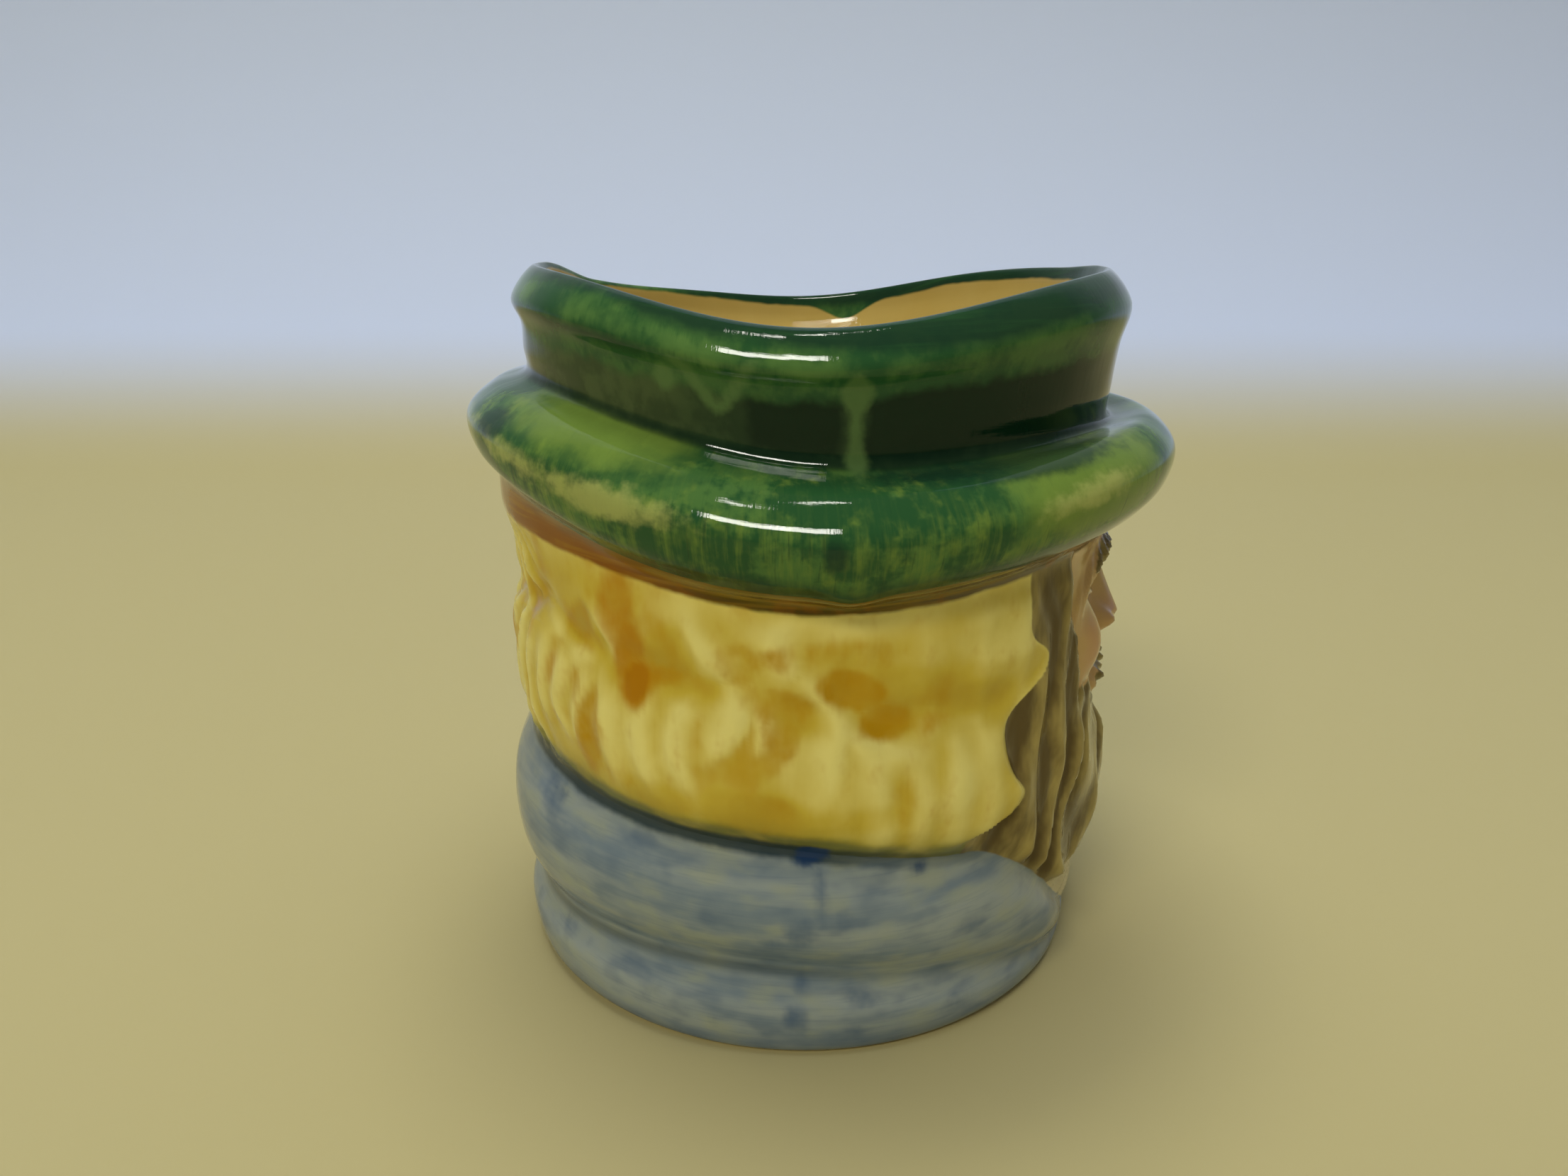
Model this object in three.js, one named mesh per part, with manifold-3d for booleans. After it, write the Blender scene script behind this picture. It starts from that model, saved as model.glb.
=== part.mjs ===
// A small toby jug: a hollow glazed-earthenware head in a low brimmed hat, with blond locks,
// a full beard, a rolled coat collar for its base and a loop handle at its left side.
// Millimetres, +Z up. The face looks along -Y and the handle stands on the +X side.
// The body is one turned grid: a lathe form whose every point is then moved to its carved place.
import * as THREE from "three";
import { mergeVertices } from "three/addons/utils/BufferGeometryUtils.js";
import Module from "manifold-3d";

// Driving dimensions. A triple is [at the face, at either side, at the back of the head].
const RIM_HEIGHT = [69.6, 65.7, 69.9];
const LIP_RADIUS = [32.3, 30.6, 28.0];
const WAIST_RADIUS = [31.0, 29.0, 27.1];
const BRIM_RADIUS = [37.2, 35.8, 32.7];
const HEAD_RADIUS = [30.6, 30.0, 29.0];
const BASE_RADIUS = [29.9, 29.9, 29.2];
const WALL = 3.4;
const FOOT_RECESS = 1.2;
const FLOOR_THICKNESS = 4.6;
const BASE_EDGE = 0.9; // height of the rounded edge at the foot
const FOLD_HEIGHT = 7.5; // lower roll of the coat, above that edge
const FOLD_SAG = 1.0; // how much lower the fold is at the back than beside the ears
const COLLAR_TOP = 25.4; // top of the upper roll at the back
const COLLAR_FALL = 7.0; // how much lower it is beside the face
const COLLAR_SWELL = 0.8; // how far it rises again below the ears
const ROLL_BULGE = 1.7; // how far a roll stands out between its creases
const BRIM_DROOP = 1.4; // how far the brim's underside sags behind the ears
const RIM_SAG = 1.8; // how far the rim sinks behind the ear on the handle's side
const SEAM_ANGLE = 83; // where the mould's seam crosses the brim, degrees from the face
const EAR_ANGLE = 88; // where the hat dips lowest, and how far to either side the dip reaches
const EAR_SPREAD = 37;

// Mesh fineness.
const COLUMNS = 100;
const FACE_CROWDING = 0.24; // columns stand closer together over the face

// Colours, as painted under the glaze.
const GLAZE = { color: 0xb9a45c, roughness: 0.12, metalness: 0.0 };

const { smoothstep, lerp } = THREE.MathUtils;

// ---- Angles: 0 at the face, 90 at either side, 180 at the back ----

function degreesFromFace(angle) {
  const around = Math.abs(THREE.MathUtils.radToDeg(angle)) % 360;
  return around > 180 ? 360 - around : around;
}

// How much a point belongs to the dipping side of the hat.
function sideShare(angle) {
  return Math.exp(-(((degreesFromFace(angle) - EAR_ANGLE) / EAR_SPREAD) ** 2));
}

// A value that runs from the face round to the back, and dips or swells at the sides.
function around(angle, [front, side, back]) {
  const frontShare = (1 + Math.cos(angle)) / 2;
  return lerp(back, front, frontShare) + (side - (front + back) / 2) * sideShare(angle);
}

// ---- The coat: a lower roll and an upper one, which part in front over a neckcloth ----

function foldHeight(angle) {
  const degrees = degreesFromFace(angle);
  const sag = FOLD_SAG * smoothstep(degrees, 105, 160);
  return BASE_EDGE + 0.3 + FOLD_HEIGHT * smoothstep(degrees, 0, 100) - sag;
}

function collarHeight(angle) {
  const degrees = degreesFromFace(angle);
  const swell = COLLAR_SWELL * bump(degrees - 92, 0, 22, 1);
  const top = COLLAR_TOP - (COLLAR_FALL * (180 - degrees)) / 120 + swell;
  return lerp(BASE_EDGE + 0.8, top, smoothstep(degrees, 4, 60));
}

function rollBulge(height) {
  return ROLL_BULGE * Math.min(1, height / 8);
}

// ---- Relief: how far the surface stands out from the plain head, in millimetres ----

function bump(x, y, width, height) {
  return Math.exp(-((x / width) ** 2) - (y / height) ** 2);
}

// A rounded lock of hair between two valleys, 0 to 1.
function lock(phase) {
  return 0.5 - 0.5 * Math.cos(2 * Math.PI * phase);
}

const LOCK_SPACING = 16.6; // degrees
const HAIR_THICKNESS = 1.0;
const LOCK_DEPTH = 1.4;
const TIER_TUCK = 1.0;

// Where the hair ends and the whiskers begin: two lobes with a notch between them.
function hairEdge(z) {
  const lobe = 9.7 * bump(z - 36.5, 0, 1.9, 1) + 1.5 * bump(z - 23.6, 0, 1.5, 1);
  const notch = 2.6 * bump(z - 30, 0, 3.4, 1);
  return 52 - lobe + notch + 9 * (1 - smoothstep(z, 20.2, 22.4));
}

// The hair hangs in two tiers. The upper one is tucked in along this line.
function tierLine(angle) {
  return around(angle, [33, 33, 38.4]);
}

function hairRelief(angle, z) {
  const degrees = degreesFromFace(angle);
  const cover = smoothstep(degrees, hairEdge(z) - 1.5, hairEdge(z) + 2.5);
  if (cover === 0) return 0;
  const line = tierLine(angle);
  const sweep = lerp(0.4, 2.6, smoothstep(degrees, 60, 150));
  const upper = lock((degrees - sweep * (z - 40)) / LOCK_SPACING);
  const fall = THREE.MathUtils.clamp((z - collarHeight(angle)) / (line - collarHeight(angle)), 0, 1);
  const lower = lock((degrees - 6 * Math.sin(Math.PI * fall)) / LOCK_SPACING);
  const below = 1 - smoothstep(z, line - 1, line + 1);
  const tuck = bump(z - line - 1.2, 0, 1.8, 1);
  const curl = Math.sin(Math.PI * Math.min(1, fall * 1.05)) * 0.5;
  const strands = LOCK_DEPTH * (lerp(upper, lower, below) - 0.5);
  const thinner = 1.3 * smoothstep(degrees, 110, 160);
  return cover * (HAIR_THICKNESS + strands + below * curl - TIER_TUCK * tuck - thinner);
}

// Face features are placed by arc length from the centre line and by height.
const EYE = { s: 7.2, z: 39.6 };
const NOSE = { top: 42.5, tip: 33.6, width: 3.1 };
const MOUTH_HEIGHT = 28.6;
const FACE_ARC = 31; // radius that turns an angle into an arc length

function noseRelief(s, z) {
  const along = THREE.MathUtils.clamp((NOSE.top - z) / (NOSE.top - NOSE.tip), 0, 1);
  const ridge = lerp(1.3, 4.4, along ** 1.3) * smoothstep(z, NOSE.tip - 3.2, NOSE.tip);
  const fadeTop = 1 - smoothstep(z, NOSE.top, NOSE.top + 2.5);
  const width = lerp(NOSE.width * 0.66, NOSE.width, along);
  const wing = 1.3 * bump(Math.abs(s) - 3.4, z - NOSE.tip + 0.2, 1.8, 1.8);
  return ridge * fadeTop * bump(s, 0, width, 1) + wing;
}

function eyeRelief(s, z) {
  const across = Math.abs(s) - EYE.s;
  const socket = -2.0 * bump(across, z - EYE.z - 0.2, 4.4, 2.7);
  const ball = 1.9 * bump(across, z - EYE.z, 3.0, 1.6);
  const brow = 2.0 * bump(across - 0.8, z - EYE.z - 4.0 + 0.02 * across ** 2, 5.6, 1.5);
  return socket + ball + brow;
}

// Height of the upper edge of the beard at an arc length from the centre line.
function beardTop(s) {
  const out = Math.abs(s);
  return 26 + 4.5 * smoothstep(out, 4, 15) + 16 * smoothstep(out, 16.5, 22);
}

function beardRelief(angle, s, z) {
  const cover = 1 - smoothstep(z, beardTop(s) - 1.2, beardTop(s) + 0.8);
  const tip = 2.0 * bump(s, z - 17, 10, 7);
  const end = smoothstep(z, 8.3 + 0.002 * s * s, 11 + 0.002 * s * s);
  const locks = 1.3 * lock(s / 5.2 + 0.5 + 0.25 * Math.sin(z / 5)) * (1 - smoothstep(z, 24, 33));
  return cover * end * (0.8 + tip + locks);
}

function moustacheRelief(s, z) {
  const out = Math.abs(s);
  const line = MOUTH_HEIGHT + 1.9 - 0.03 * out * out;
  return 2.0 * bump(z - line, 0, 1.5, 1) * smoothstep(out, 0, 1.5) * (1 - smoothstep(out, 6, 10));
}

function neckclothRelief(s, z) {
  const cover = 1 - smoothstep(z, 9, 11);
  const folds = 0.35 * Math.sin(z * 1.6 + Math.abs(s) * 0.35);
  return cover * (0.2 + folds + 0.8 * bump(s, z - 6.2, 3.2, 2.4));
}

function faceRelief(angle, z) {
  const s = FACE_ARC * Math.atan2(Math.sin(angle), Math.cos(angle));
  const degrees = degreesFromFace(angle);
  const cover = 1 - smoothstep(degrees, hairEdge(z) - 2.5, hairEdge(z) + 1.5);
  if (cover === 0) return 0;
  const cheek = 1.8 * bump(Math.abs(s) - 13, z - 34.5, 5, 4);
  const lip = 0.9 * bump(s, z - MOUTH_HEIGHT + 1.2, 3.6, 0.9);
  const soft = cheek + lip + noseRelief(s, z) + eyeRelief(s, z) + moustacheRelief(s, z);
  return cover * (soft + beardRelief(angle, s, z) + neckclothRelief(s, z));
}

// ---- Rings: the profile's knots from the middle of the underside to the middle of the floor ----
// Each ring gives its radius and height at an angle, and the rows of mesh up to the next ring.

const ringAt = (radius, height, rows, carved = false) => ({ radius, height, rows, carved });
const same = (value) => [value, value, value];
const less = (triple, distance) => triple.map((value) => value - distance);

const turned = (radius, height, rows, carved) =>
  ringAt((a) => around(a, radius), (a) => around(a, height), rows, carved);

const baseAt = (angle) => around(angle, BASE_RADIUS);

const hatLine = [45.5, 43.2, 47.5];
const brimUnder = [48.2, 46.0, 52.4];

// The brim's underside droops behind the ears.
function brimDroop(angle) {
  return BRIM_DROOP * bump(degreesFromFace(angle) - 122, 0, 30, 1);
}

// The rim isn't level: it sinks on the handle's side, most behind the ear.
function rimSag(angle) {
  if (Math.sin(angle) <= 0) return 0;
  const degrees = degreesFromFace(angle);
  const sag = 0.35 * smoothstep(degrees, 0, 20) + RIM_SAG * bump(degrees - 137, 0, 30, 1);
  return sag * (1 - smoothstep(degrees, 150, 176));
}

// A ring at heights of its own, lowered by a share of a droop or sag.
const lowered = (radius, height, drop, share, rows) =>
  ringAt((a) => around(a, radius), (a) => around(a, height) - share * drop(a), rows);

const rings = [
  turned(same(0), same(FOOT_RECESS), 1),
  turned(same(24.2), same(FOOT_RECESS), 1),
  turned(same(25.4), same(0), 1),
  turned(less(BASE_RADIUS, 0.9), same(0), 1),
  turned(BASE_RADIUS, same(BASE_EDGE), 1),
  ringAt(
    (a) => baseAt(a) + 0.35 * rollBulge(foldHeight(a)),
    (a) => lerp(BASE_EDGE, foldHeight(a), 0.55),
    1,
  ),
  ringAt((a) => baseAt(a) - 0.8 * rollBulge(foldHeight(a)) + 0.5, foldHeight, 1),
  ringAt(
    (a) => baseAt(a) - 0.3 + rollBulge(collarHeight(a) - foldHeight(a)) * 0.9,
    (a) => lerp(foldHeight(a), collarHeight(a), 0.3),
    1,
  ),
  ringAt(
    (a) => baseAt(a) - 0.3 + rollBulge(collarHeight(a) - foldHeight(a)),
    (a) => lerp(foldHeight(a), collarHeight(a), 0.65),
    2,
  ),
  ringAt((a) => around(a, HEAD_RADIUS) - 0.6, collarHeight, 4, true),
  ringAt((a) => around(a, HEAD_RADIUS), (a) => around(a, [23.5, 26, 29.5]), 15, true),
  turned([31.4, 30.9, 30.2], hatLine, 1, true),
  lowered(less(BRIM_RADIUS, 2.2), brimUnder, brimDroop, 1, 1),
  lowered(less(BRIM_RADIUS, 0.5), [50.4, 48.0, 54.0], brimDroop, 0.8, 1),
  turned(BRIM_RADIUS, [53.6, 50.4, 56.6], 2),
  turned(less(BRIM_RADIUS, 2.6), [56.2, 53.4, 59.0], 1),
  turned(less(WAIST_RADIUS, 0.1), [55.8, 55.2, 60.3], 1),
  turned(WAIST_RADIUS, [59.2, 58.4, 62.4], 1),
  turned(less(LIP_RADIUS, 0.7), [63.2, 61.6, 65.0], 1),
  lowered(LIP_RADIUS, less(RIM_HEIGHT, 3.0), rimSag, 0.7, 2),
  lowered(less(LIP_RADIUS, 2.4), RIM_HEIGHT, rimSag, 1, 2),
  lowered(less(LIP_RADIUS, 4.5), less(RIM_HEIGHT, 2.2), rimSag, 1, 1),
  turned(less(WAIST_RADIUS, WALL + 0.8), [58, 57, 60], 1),
  turned(less(HEAD_RADIUS, WALL), same(32), 1),
  turned(less(BASE_RADIUS, WALL + 0.6), same(10), 1),
  turned(less(BASE_RADIUS, WALL + 4.6), same(FLOOR_THICKNESS + 0.2), 1),
  turned(same(0), same(FLOOR_THICKNESS), 0),
];

const SEAM_RING = rings.findIndex((ring) => Math.abs(ring.height(0) - brimUnder[0]) < 0.01);

// The mould's seam leaves a shallow point in the lower edge of the brim.
function seamPoint(angle, ringIndex) {
  if (ringIndex !== SEAM_RING) return 0;
  return 0.6 * bump(degreesFromFace(angle) - SEAM_ANGLE, 0, 4, 1);
}

// The profile at one angle, as a list of (radius, height) points.
function profileAt(angle) {
  const knots = rings.map(
    (ring, index) =>
      new THREE.Vector3(ring.radius(angle), ring.height(angle) - seamPoint(angle, index), 0),
  );
  const curve = new THREE.CatmullRomCurve3(knots, false, "centripetal");
  const points = [];
  rings.forEach((ring, index) => {
    for (let row = 0; row < Math.max(1, ring.rows); row++) {
      const t = (index + row / Math.max(1, ring.rows)) / (rings.length - 1);
      const point = curve.getPoint(Math.min(1, t));
      if (ring.carved) {
        const fadeUp = 1 - smoothstep(point.y, around(angle, hatLine) - 0.5, around(angle, hatLine) + 1);
        const fadeLow = smoothstep(point.y, collarHeight(angle) - 0.2, collarHeight(angle) + 1.2);
        const relief = hairRelief(angle, point.y) + faceRelief(angle, point.y);
        point.x += relief * fadeUp * fadeLow;
      }
      points.push(new THREE.Vector2(Math.max(0, point.x), point.y));
    }
  });
  return points;
}

// The grid's squares are split along the lean of the locks, which is mirrored on the two sides.
function splitSquares(rows) {
  const corners = [];
  for (let column = 0; column < COLUMNS; column++) {
    for (let row = 0; row < rows - 1; row++) {
      const a = column * rows + row;
      const b = a + rows;
      const [c, d] = [b + 1, a + 1];
      corners.push(...(column < COLUMNS / 2 ? [a, b, c, c, d, a] : [a, b, d, c, d, b]));
    }
  }
  return corners;
}

// A turned body whose columns are then moved to their own profiles.
function makeBody() {
  const rows = profileAt(0).length;
  const plain = profileAt(Math.PI / 2).map((p) => new THREE.Vector2(p.x, p.y));
  const geometry = new THREE.LatheGeometry(plain, COLUMNS);
  const position = geometry.getAttribute("position");
  for (let column = 0; column <= COLUMNS; column++) {
    const turn = ((column % COLUMNS) / COLUMNS) * 2 * Math.PI;
    const angle = turn - FACE_CROWDING * Math.sin(turn);
    profileAt(angle).forEach((point, row) => {
      const { x, y } = point;
      position.setXYZ(column * rows + row, x * Math.sin(angle), -x * Math.cos(angle), y);
    });
  }
  geometry.setIndex(splitSquares(rows));
  return geometry;
}

// ---- Handle: an oval strap swept along a loop in the XZ plane ----

const HANDLE_PATH = [
  [28.8, 48.2],
  [33.5, 49.6],
  [40.5, 50.4],
  [46.6, 46.0],
  [48.6, 37.0],
  [46.4, 27.0],
  [41.0, 19.2],
  [35.0, 15.2],
  [28.8, 13.4],
];
const HANDLE_WIDTH = 7.6; // across, along Y
const HANDLE_DEPTH = 5.2; // towards the finger gap

function makeHandle() {
  const path = new THREE.CatmullRomCurve3(
    HANDLE_PATH.map(([x, z]) => new THREE.Vector3(x, 0, z)),
    false,
    "centripetal",
  );
  const section = new THREE.Shape().absellipse(
    0, 0, HANDLE_WIDTH / 2, HANDLE_DEPTH / 2, 0, 2 * Math.PI,
  );
  return new THREE.ExtrudeGeometry(section, { steps: 22, curveSegments: 5, extrudePath: path });
}

// ---- Joining ----

const wasm = await Module();
wasm.setup();

function solidOf(geometry) {
  const bare = new THREE.BufferGeometry();
  bare.setAttribute("position", geometry.getAttribute("position").clone());
  if (geometry.index) bare.setIndex(geometry.index.clone());
  const merged = mergeVertices(bare, 1e-4);
  const made = new wasm.Manifold(
    new wasm.Mesh({
      numProp: 3,
      vertProperties: new Float32Array(merged.getAttribute("position").array),
      triVerts: new Uint32Array(merged.index.array),
    }),
  );
  return made;
}

function geometryOf(solid) {
  const mesh = solid.getMesh();
  const geometry = new THREE.BufferGeometry();
  geometry.setAttribute("position", new THREE.BufferAttribute(mesh.vertProperties, 3));
  geometry.setIndex(new THREE.BufferAttribute(mesh.triVerts, 1));
  geometry.computeVertexNormals();
  return geometry;
}

const body = solidOf(makeBody());
const handle = solidOf(makeHandle());
const jugGeometry = geometryOf(body.add(handle));

// The middle of the bounding box stands over the origin.
jugGeometry.computeBoundingBox();
const middle = jugGeometry.boundingBox.getCenter(new THREE.Vector3());
const jug = new THREE.Mesh(jugGeometry, new THREE.MeshStandardMaterial(GLAZE));
jug.name = "jug";
jug.position.set(-middle.x, -middle.y, 0);

const group = new THREE.Group();
group.add(jug);
export default group;
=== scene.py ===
"""A small painted earthenware jug: a bearded head in a green hat, on a blue coat collar.

The clay is turned as one straight tube, then every row and column of it is pressed to its place:
foot, coat rolls, locks, face, brim, crown, lip, and down the inside to the floor. The handle is
pulled separately, joined to the wall and smoothed in. The decoration is brushed on as bands and
patches that the glaze material reads from the clay. Sizes in this file are in millimetres.
"""

import math
from contextlib import contextmanager

import bpy
import numpy as np
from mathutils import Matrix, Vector
from mathutils.kdtree import KDTree


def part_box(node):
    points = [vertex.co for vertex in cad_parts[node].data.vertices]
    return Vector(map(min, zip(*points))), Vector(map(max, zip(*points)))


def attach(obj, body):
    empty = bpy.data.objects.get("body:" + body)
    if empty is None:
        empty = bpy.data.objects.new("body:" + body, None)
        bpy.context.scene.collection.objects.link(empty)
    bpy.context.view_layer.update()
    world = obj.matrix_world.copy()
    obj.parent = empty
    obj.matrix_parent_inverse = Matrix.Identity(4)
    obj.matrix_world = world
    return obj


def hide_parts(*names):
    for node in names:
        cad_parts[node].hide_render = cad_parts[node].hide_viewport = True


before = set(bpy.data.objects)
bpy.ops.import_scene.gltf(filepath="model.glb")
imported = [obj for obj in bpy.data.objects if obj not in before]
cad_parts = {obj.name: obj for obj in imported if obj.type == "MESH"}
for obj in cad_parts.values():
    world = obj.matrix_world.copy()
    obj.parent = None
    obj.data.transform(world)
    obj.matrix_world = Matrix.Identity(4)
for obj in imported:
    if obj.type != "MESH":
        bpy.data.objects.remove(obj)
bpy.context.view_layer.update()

JUG_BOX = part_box("jug")
JUG_HEIGHT = 69.9
MM = (JUG_BOX[1].z - JUG_BOX[0].z) / JUG_HEIGHT  # one millimetre of the jug, in metres

# ---- Sizes of the jug. A triple is (at the face, beside the ear, at the back) ----

RIM_HEIGHT = (69.6, 65.7, 69.9)
LIP_RADIUS = (32.3, 30.6, 28.0)
WAIST_RADIUS = (31.0, 29.0, 27.1)
BRIM_RADIUS = (37.2, 35.8, 32.7)
HEAD_RADIUS = (30.6, 30.0, 29.0)
HAT_LINE = (45.5, 43.2, 47.5)  # where the hair disappears under the hat
BRIM_UNDER = (48.2, 46.0, 52.4)  # lower edge of the brim
BASE_RADIUS = (29.9, 29.9, 29.2)
WALL = 3.4
FLOOR = 4.6
FOOT_RECESS = 1.2
BASE_EDGE = 0.9
FOLD_HEIGHT = 7.5
FOLD_SAG = 1.0  # how much lower the coat's fold is at the back
COLLAR_TOP = 25.4
COLLAR_FALL = 7.0
COLLAR_SWELL = 0.8
ROLL_BULGE = 1.7
BRIM_DROOP = 1.4  # how far the brim's underside sags behind the ears
RIM_SAG = 1.8  # how far the rim sinks behind the ear on the handle's side
SEAM = 83  # the mould's seam, degrees from the face
SEAM_NICK = 0.55  # how far the seam draws the brim's underside down
EAR_ANGLE = 88  # where the hat dips lowest, and how far to either side the dip reaches
EAR_SPREAD = 37
MM_PER_DEGREE = 0.54  # round the head
HAND_UNEVENNESS = 0.07
INSIDE_EDGE = 1.7  # how far over the rim the duller glaze of the inside begins

# Degrees by which the hand work lies further back on the handle's side than on the other
CARVING_SHIFT = 5.0
HAIR_PAINT_SHIFT = 6
HAT_PAINT_SHIFT = 9
COAT_PAINT_SHIFT = 21

COLUMNS = 400
FACE_CROWDING = 0.34  # columns stand closer together over the face

AXIS_X = JUG_BOX[0].x / MM + BRIM_RADIUS[1]  # the foot's centre in the frame
AXIS_Y = JUG_BOX[0].y / MM + BRIM_RADIUS[0]


def smooth(value, low, high):
    """0 below low, 1 above high, and an easy slope between."""
    t = np.clip((value - low) / (high - low), 0, 1)
    return t * t * (3 - 2 * t)


def mound(x, width):
    """1 in the middle of a soft swelling and 0 well away from it."""
    return np.exp(-((x / width) ** 2))


def bump(x, y, width, height):
    """The same in two directions."""
    return np.exp(-((x / width) ** 2) - (y / height) ** 2)


def from_face(turn):
    """Degrees from the face, 0 to 180 on either side."""
    return np.degrees(np.arccos(np.clip(np.cos(turn), -1, 1)))


def round_head(turn, sizes):
    """A size all round the head, from its values at the face, beside the ear and at the back."""
    front, ear, back = sizes
    share = (1 + np.cos(turn)) / 2
    beside = mound(from_face(turn) - EAR_ANGLE, EAR_SPREAD)
    return back + (front - back) * share + (ear - (front + back) / 2) * beside


def flowing_line(knots, rows_between):
    """Rows of points on a smooth line through the knots, with no overshoot where they are uneven."""
    before = 2 * knots[0] - knots[1]
    after = 2 * knots[-1] - knots[-2]
    p = np.concatenate([[before], knots, [after]])
    gaps = np.maximum(np.sum((p[1:] - p[:-1]) ** 2, axis=-1, keepdims=True) ** 0.25, 1e-4)
    rows = []
    for i, count in enumerate(rows_between):
        p0, p1, p2, p3 = p[i : i + 4]
        d0, d1, d2 = gaps[i], gaps[i + 1], gaps[i + 2]
        t1 = ((p1 - p0) / d0 - (p2 - p0) / (d0 + d1) + (p2 - p1) / d1) * d1
        t2 = ((p2 - p1) / d1 - (p3 - p1) / (d1 + d2) + (p3 - p2) / d2) * d1
        for step in range(count):
            t = step / count
            rows.append(
                p1
                + t1 * t
                + (-3 * p1 + 3 * p2 - 2 * t1 - t2) * t**2
                + (2 * p1 - 2 * p2 + t1 + t2) * t**3
            )
    rows.append(knots[-1])
    return np.array(rows)


def less(sizes, amount):
    return tuple(size - amount for size in sizes)


def read(table, degrees):
    points = np.array(table)
    return np.interp(degrees, points[:, 0], points[:, 1])


# ---- The coat ----


def fold_height(turn):
    """The crease between the collar's two rolls."""
    degrees = from_face(turn)
    rise = FOLD_HEIGHT * smooth(degrees, 0, 100) - FOLD_SAG * smooth(degrees, 105, 160)
    return BASE_EDGE + 0.3 + rise


def collar_height(turn):
    """Where the collar ends and the hair begins."""
    degrees = from_face(turn)
    top = COLLAR_TOP - COLLAR_FALL * (180 - degrees) / 120
    top = top + COLLAR_SWELL * mound(degrees - 92, 22)
    parting = BASE_EDGE + 0.8
    return parting + (top - parting) * smooth(degrees, 4, 60)


def roll_bulge(height):
    return ROLL_BULGE * np.minimum(1, height / 8)


# ---- The hair ----

TIER_LINE = (  # degrees from the face, height of the line between upper and lower locks
    (40, 33.0), (60, 31.6), (77, 31.2), (84, 33.6), (97, 34.6),
    (110, 36.4), (128, 37.4), (143, 39.6), (165, 38.4), (180, 38.0),
)  # fmt: skip
UPPER_SWEEP = (  # degrees of lean for each millimetre of height
    (50, 0.0), (90, 0.2), (108, 0.3), (118, 1.2), (128, 2.4), (144, 2.8), (160, 1.0), (180, 0.2),
)  # fmt: skip
HAIR_THICKNESS = 0.9
STRAND_HEIGHT = 0.55
FACE_LOCK = 6.7  # degrees between the soft locks beside the face
FACE_VALLEY = 54.4  # degrees of the first valley between them
BROAD_LOCK = 7.8  # degrees, at the back
LOCK_LINES = (  # raised lines of the locks behind the ear: (degrees from the face, height)
    ((139, 38), (141.5, 35), (143, 32), (142, 29)),
    ((134.5, 37), (136, 34), (137.5, 31), (134, 28.5)),
    ((127, 36), (130, 33), (131.5, 31), (130, 27.5)),
    ((124.5, 36.8), (124, 33.4), (124.5, 31), (122.5, 26.6)),
    ((114.3, 34.6), (116.5, 32), (116.3, 29.5), (114, 26)),
    ((108, 35.3), (110, 32.5), (109.6, 30), (106, 26.2)),
    ((102.3, 37.3), (100.8, 36), (99.5, 34.4), (100.3, 33), (104.7, 29.8)),
    ((97, 35), (95.4, 33), (97.5, 30.5)),
    ((90.4, 38), (87.9, 36.4), (85.3, 34.8), (83.9, 33.4), (84.4, 31.5), (85.6, 28.5)),
    ((83.9, 33.8), (81, 32), (77, 31), (72, 30.4)),
    ((128, 42.8), (123.8, 40.3), (121.4, 38), (119.3, 36.7)),
    ((108.2, 43.5), (106.5, 40.7), (103, 38.3), (101.2, 36.7)),
    ((140.3, 40.2), (135.6, 38.5), (130.6, 37.3), (125.7, 36.8)),
    ((91.8, 43), (93.9, 40.7), (92, 38.7), (90.4, 38)),
)


def lock(phase):
    """A rounded lock between two soft valleys, 0 in the valley and 1 on its back."""
    return 0.5 - 0.5 * np.cos(2 * np.pi * phase)


def strand(phase):
    """A thin raised strand with a broad hollow on either side."""
    return mound(phase - np.floor(phase) - 0.5, 0.2)


def along_line(degrees, z, points):
    """Millimetres from a line through (degrees, height) places, and the share along it."""
    best, share = np.full(np.shape(z), 99.0), np.zeros(np.shape(z))
    spans = len(points) - 1
    for i, ((a0, z0), (a1, z1)) in enumerate(zip(points, points[1:])):
        ax, bx, px = a0 * MM_PER_DEGREE, a1 * MM_PER_DEGREE, degrees * MM_PER_DEGREE
        length = (bx - ax) ** 2 + (z1 - z0) ** 2
        t = np.clip(((px - ax) * (bx - ax) + (z - z0) * (z1 - z0)) / length, 0, 1)
        away = np.hypot(px - ax - t * (bx - ax), z - z0 - t * (z1 - z0))
        share = np.where(away < best, (i + t) / spans, share)
        best = np.minimum(best, away)
    return best, share


def curved(points, between=4):
    """The same places with a smooth curve of further ones between them."""
    knots = np.array(points, dtype=float)[:, None, :]
    return flowing_line(knots, [between] * (len(points) - 1))[:, 0, :]


def hair_edge(z):
    """Degrees from the face at which the hair gives way to the whiskers."""
    lobe = 8.6 * mound(z - 36.0, 2.6) + 2.2 * mound(z - 24.2, 1.7)
    notch = 2.6 * mound(z - 30, 3.4) - 1.6 * smooth(z, 38, 41)
    return 52 - lobe + notch + 9 * (1 - smooth(z, 20.2, 22.4))


def back_phase(degrees, fall):
    lean = smooth(degrees, 88, 112) * (1 - 0.8 * smooth(degrees, 148, 176))
    leaning = degrees - 5.5 * np.sin(np.pi * fall) * lean
    return (leaning - 101) / BROAD_LOCK


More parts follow.
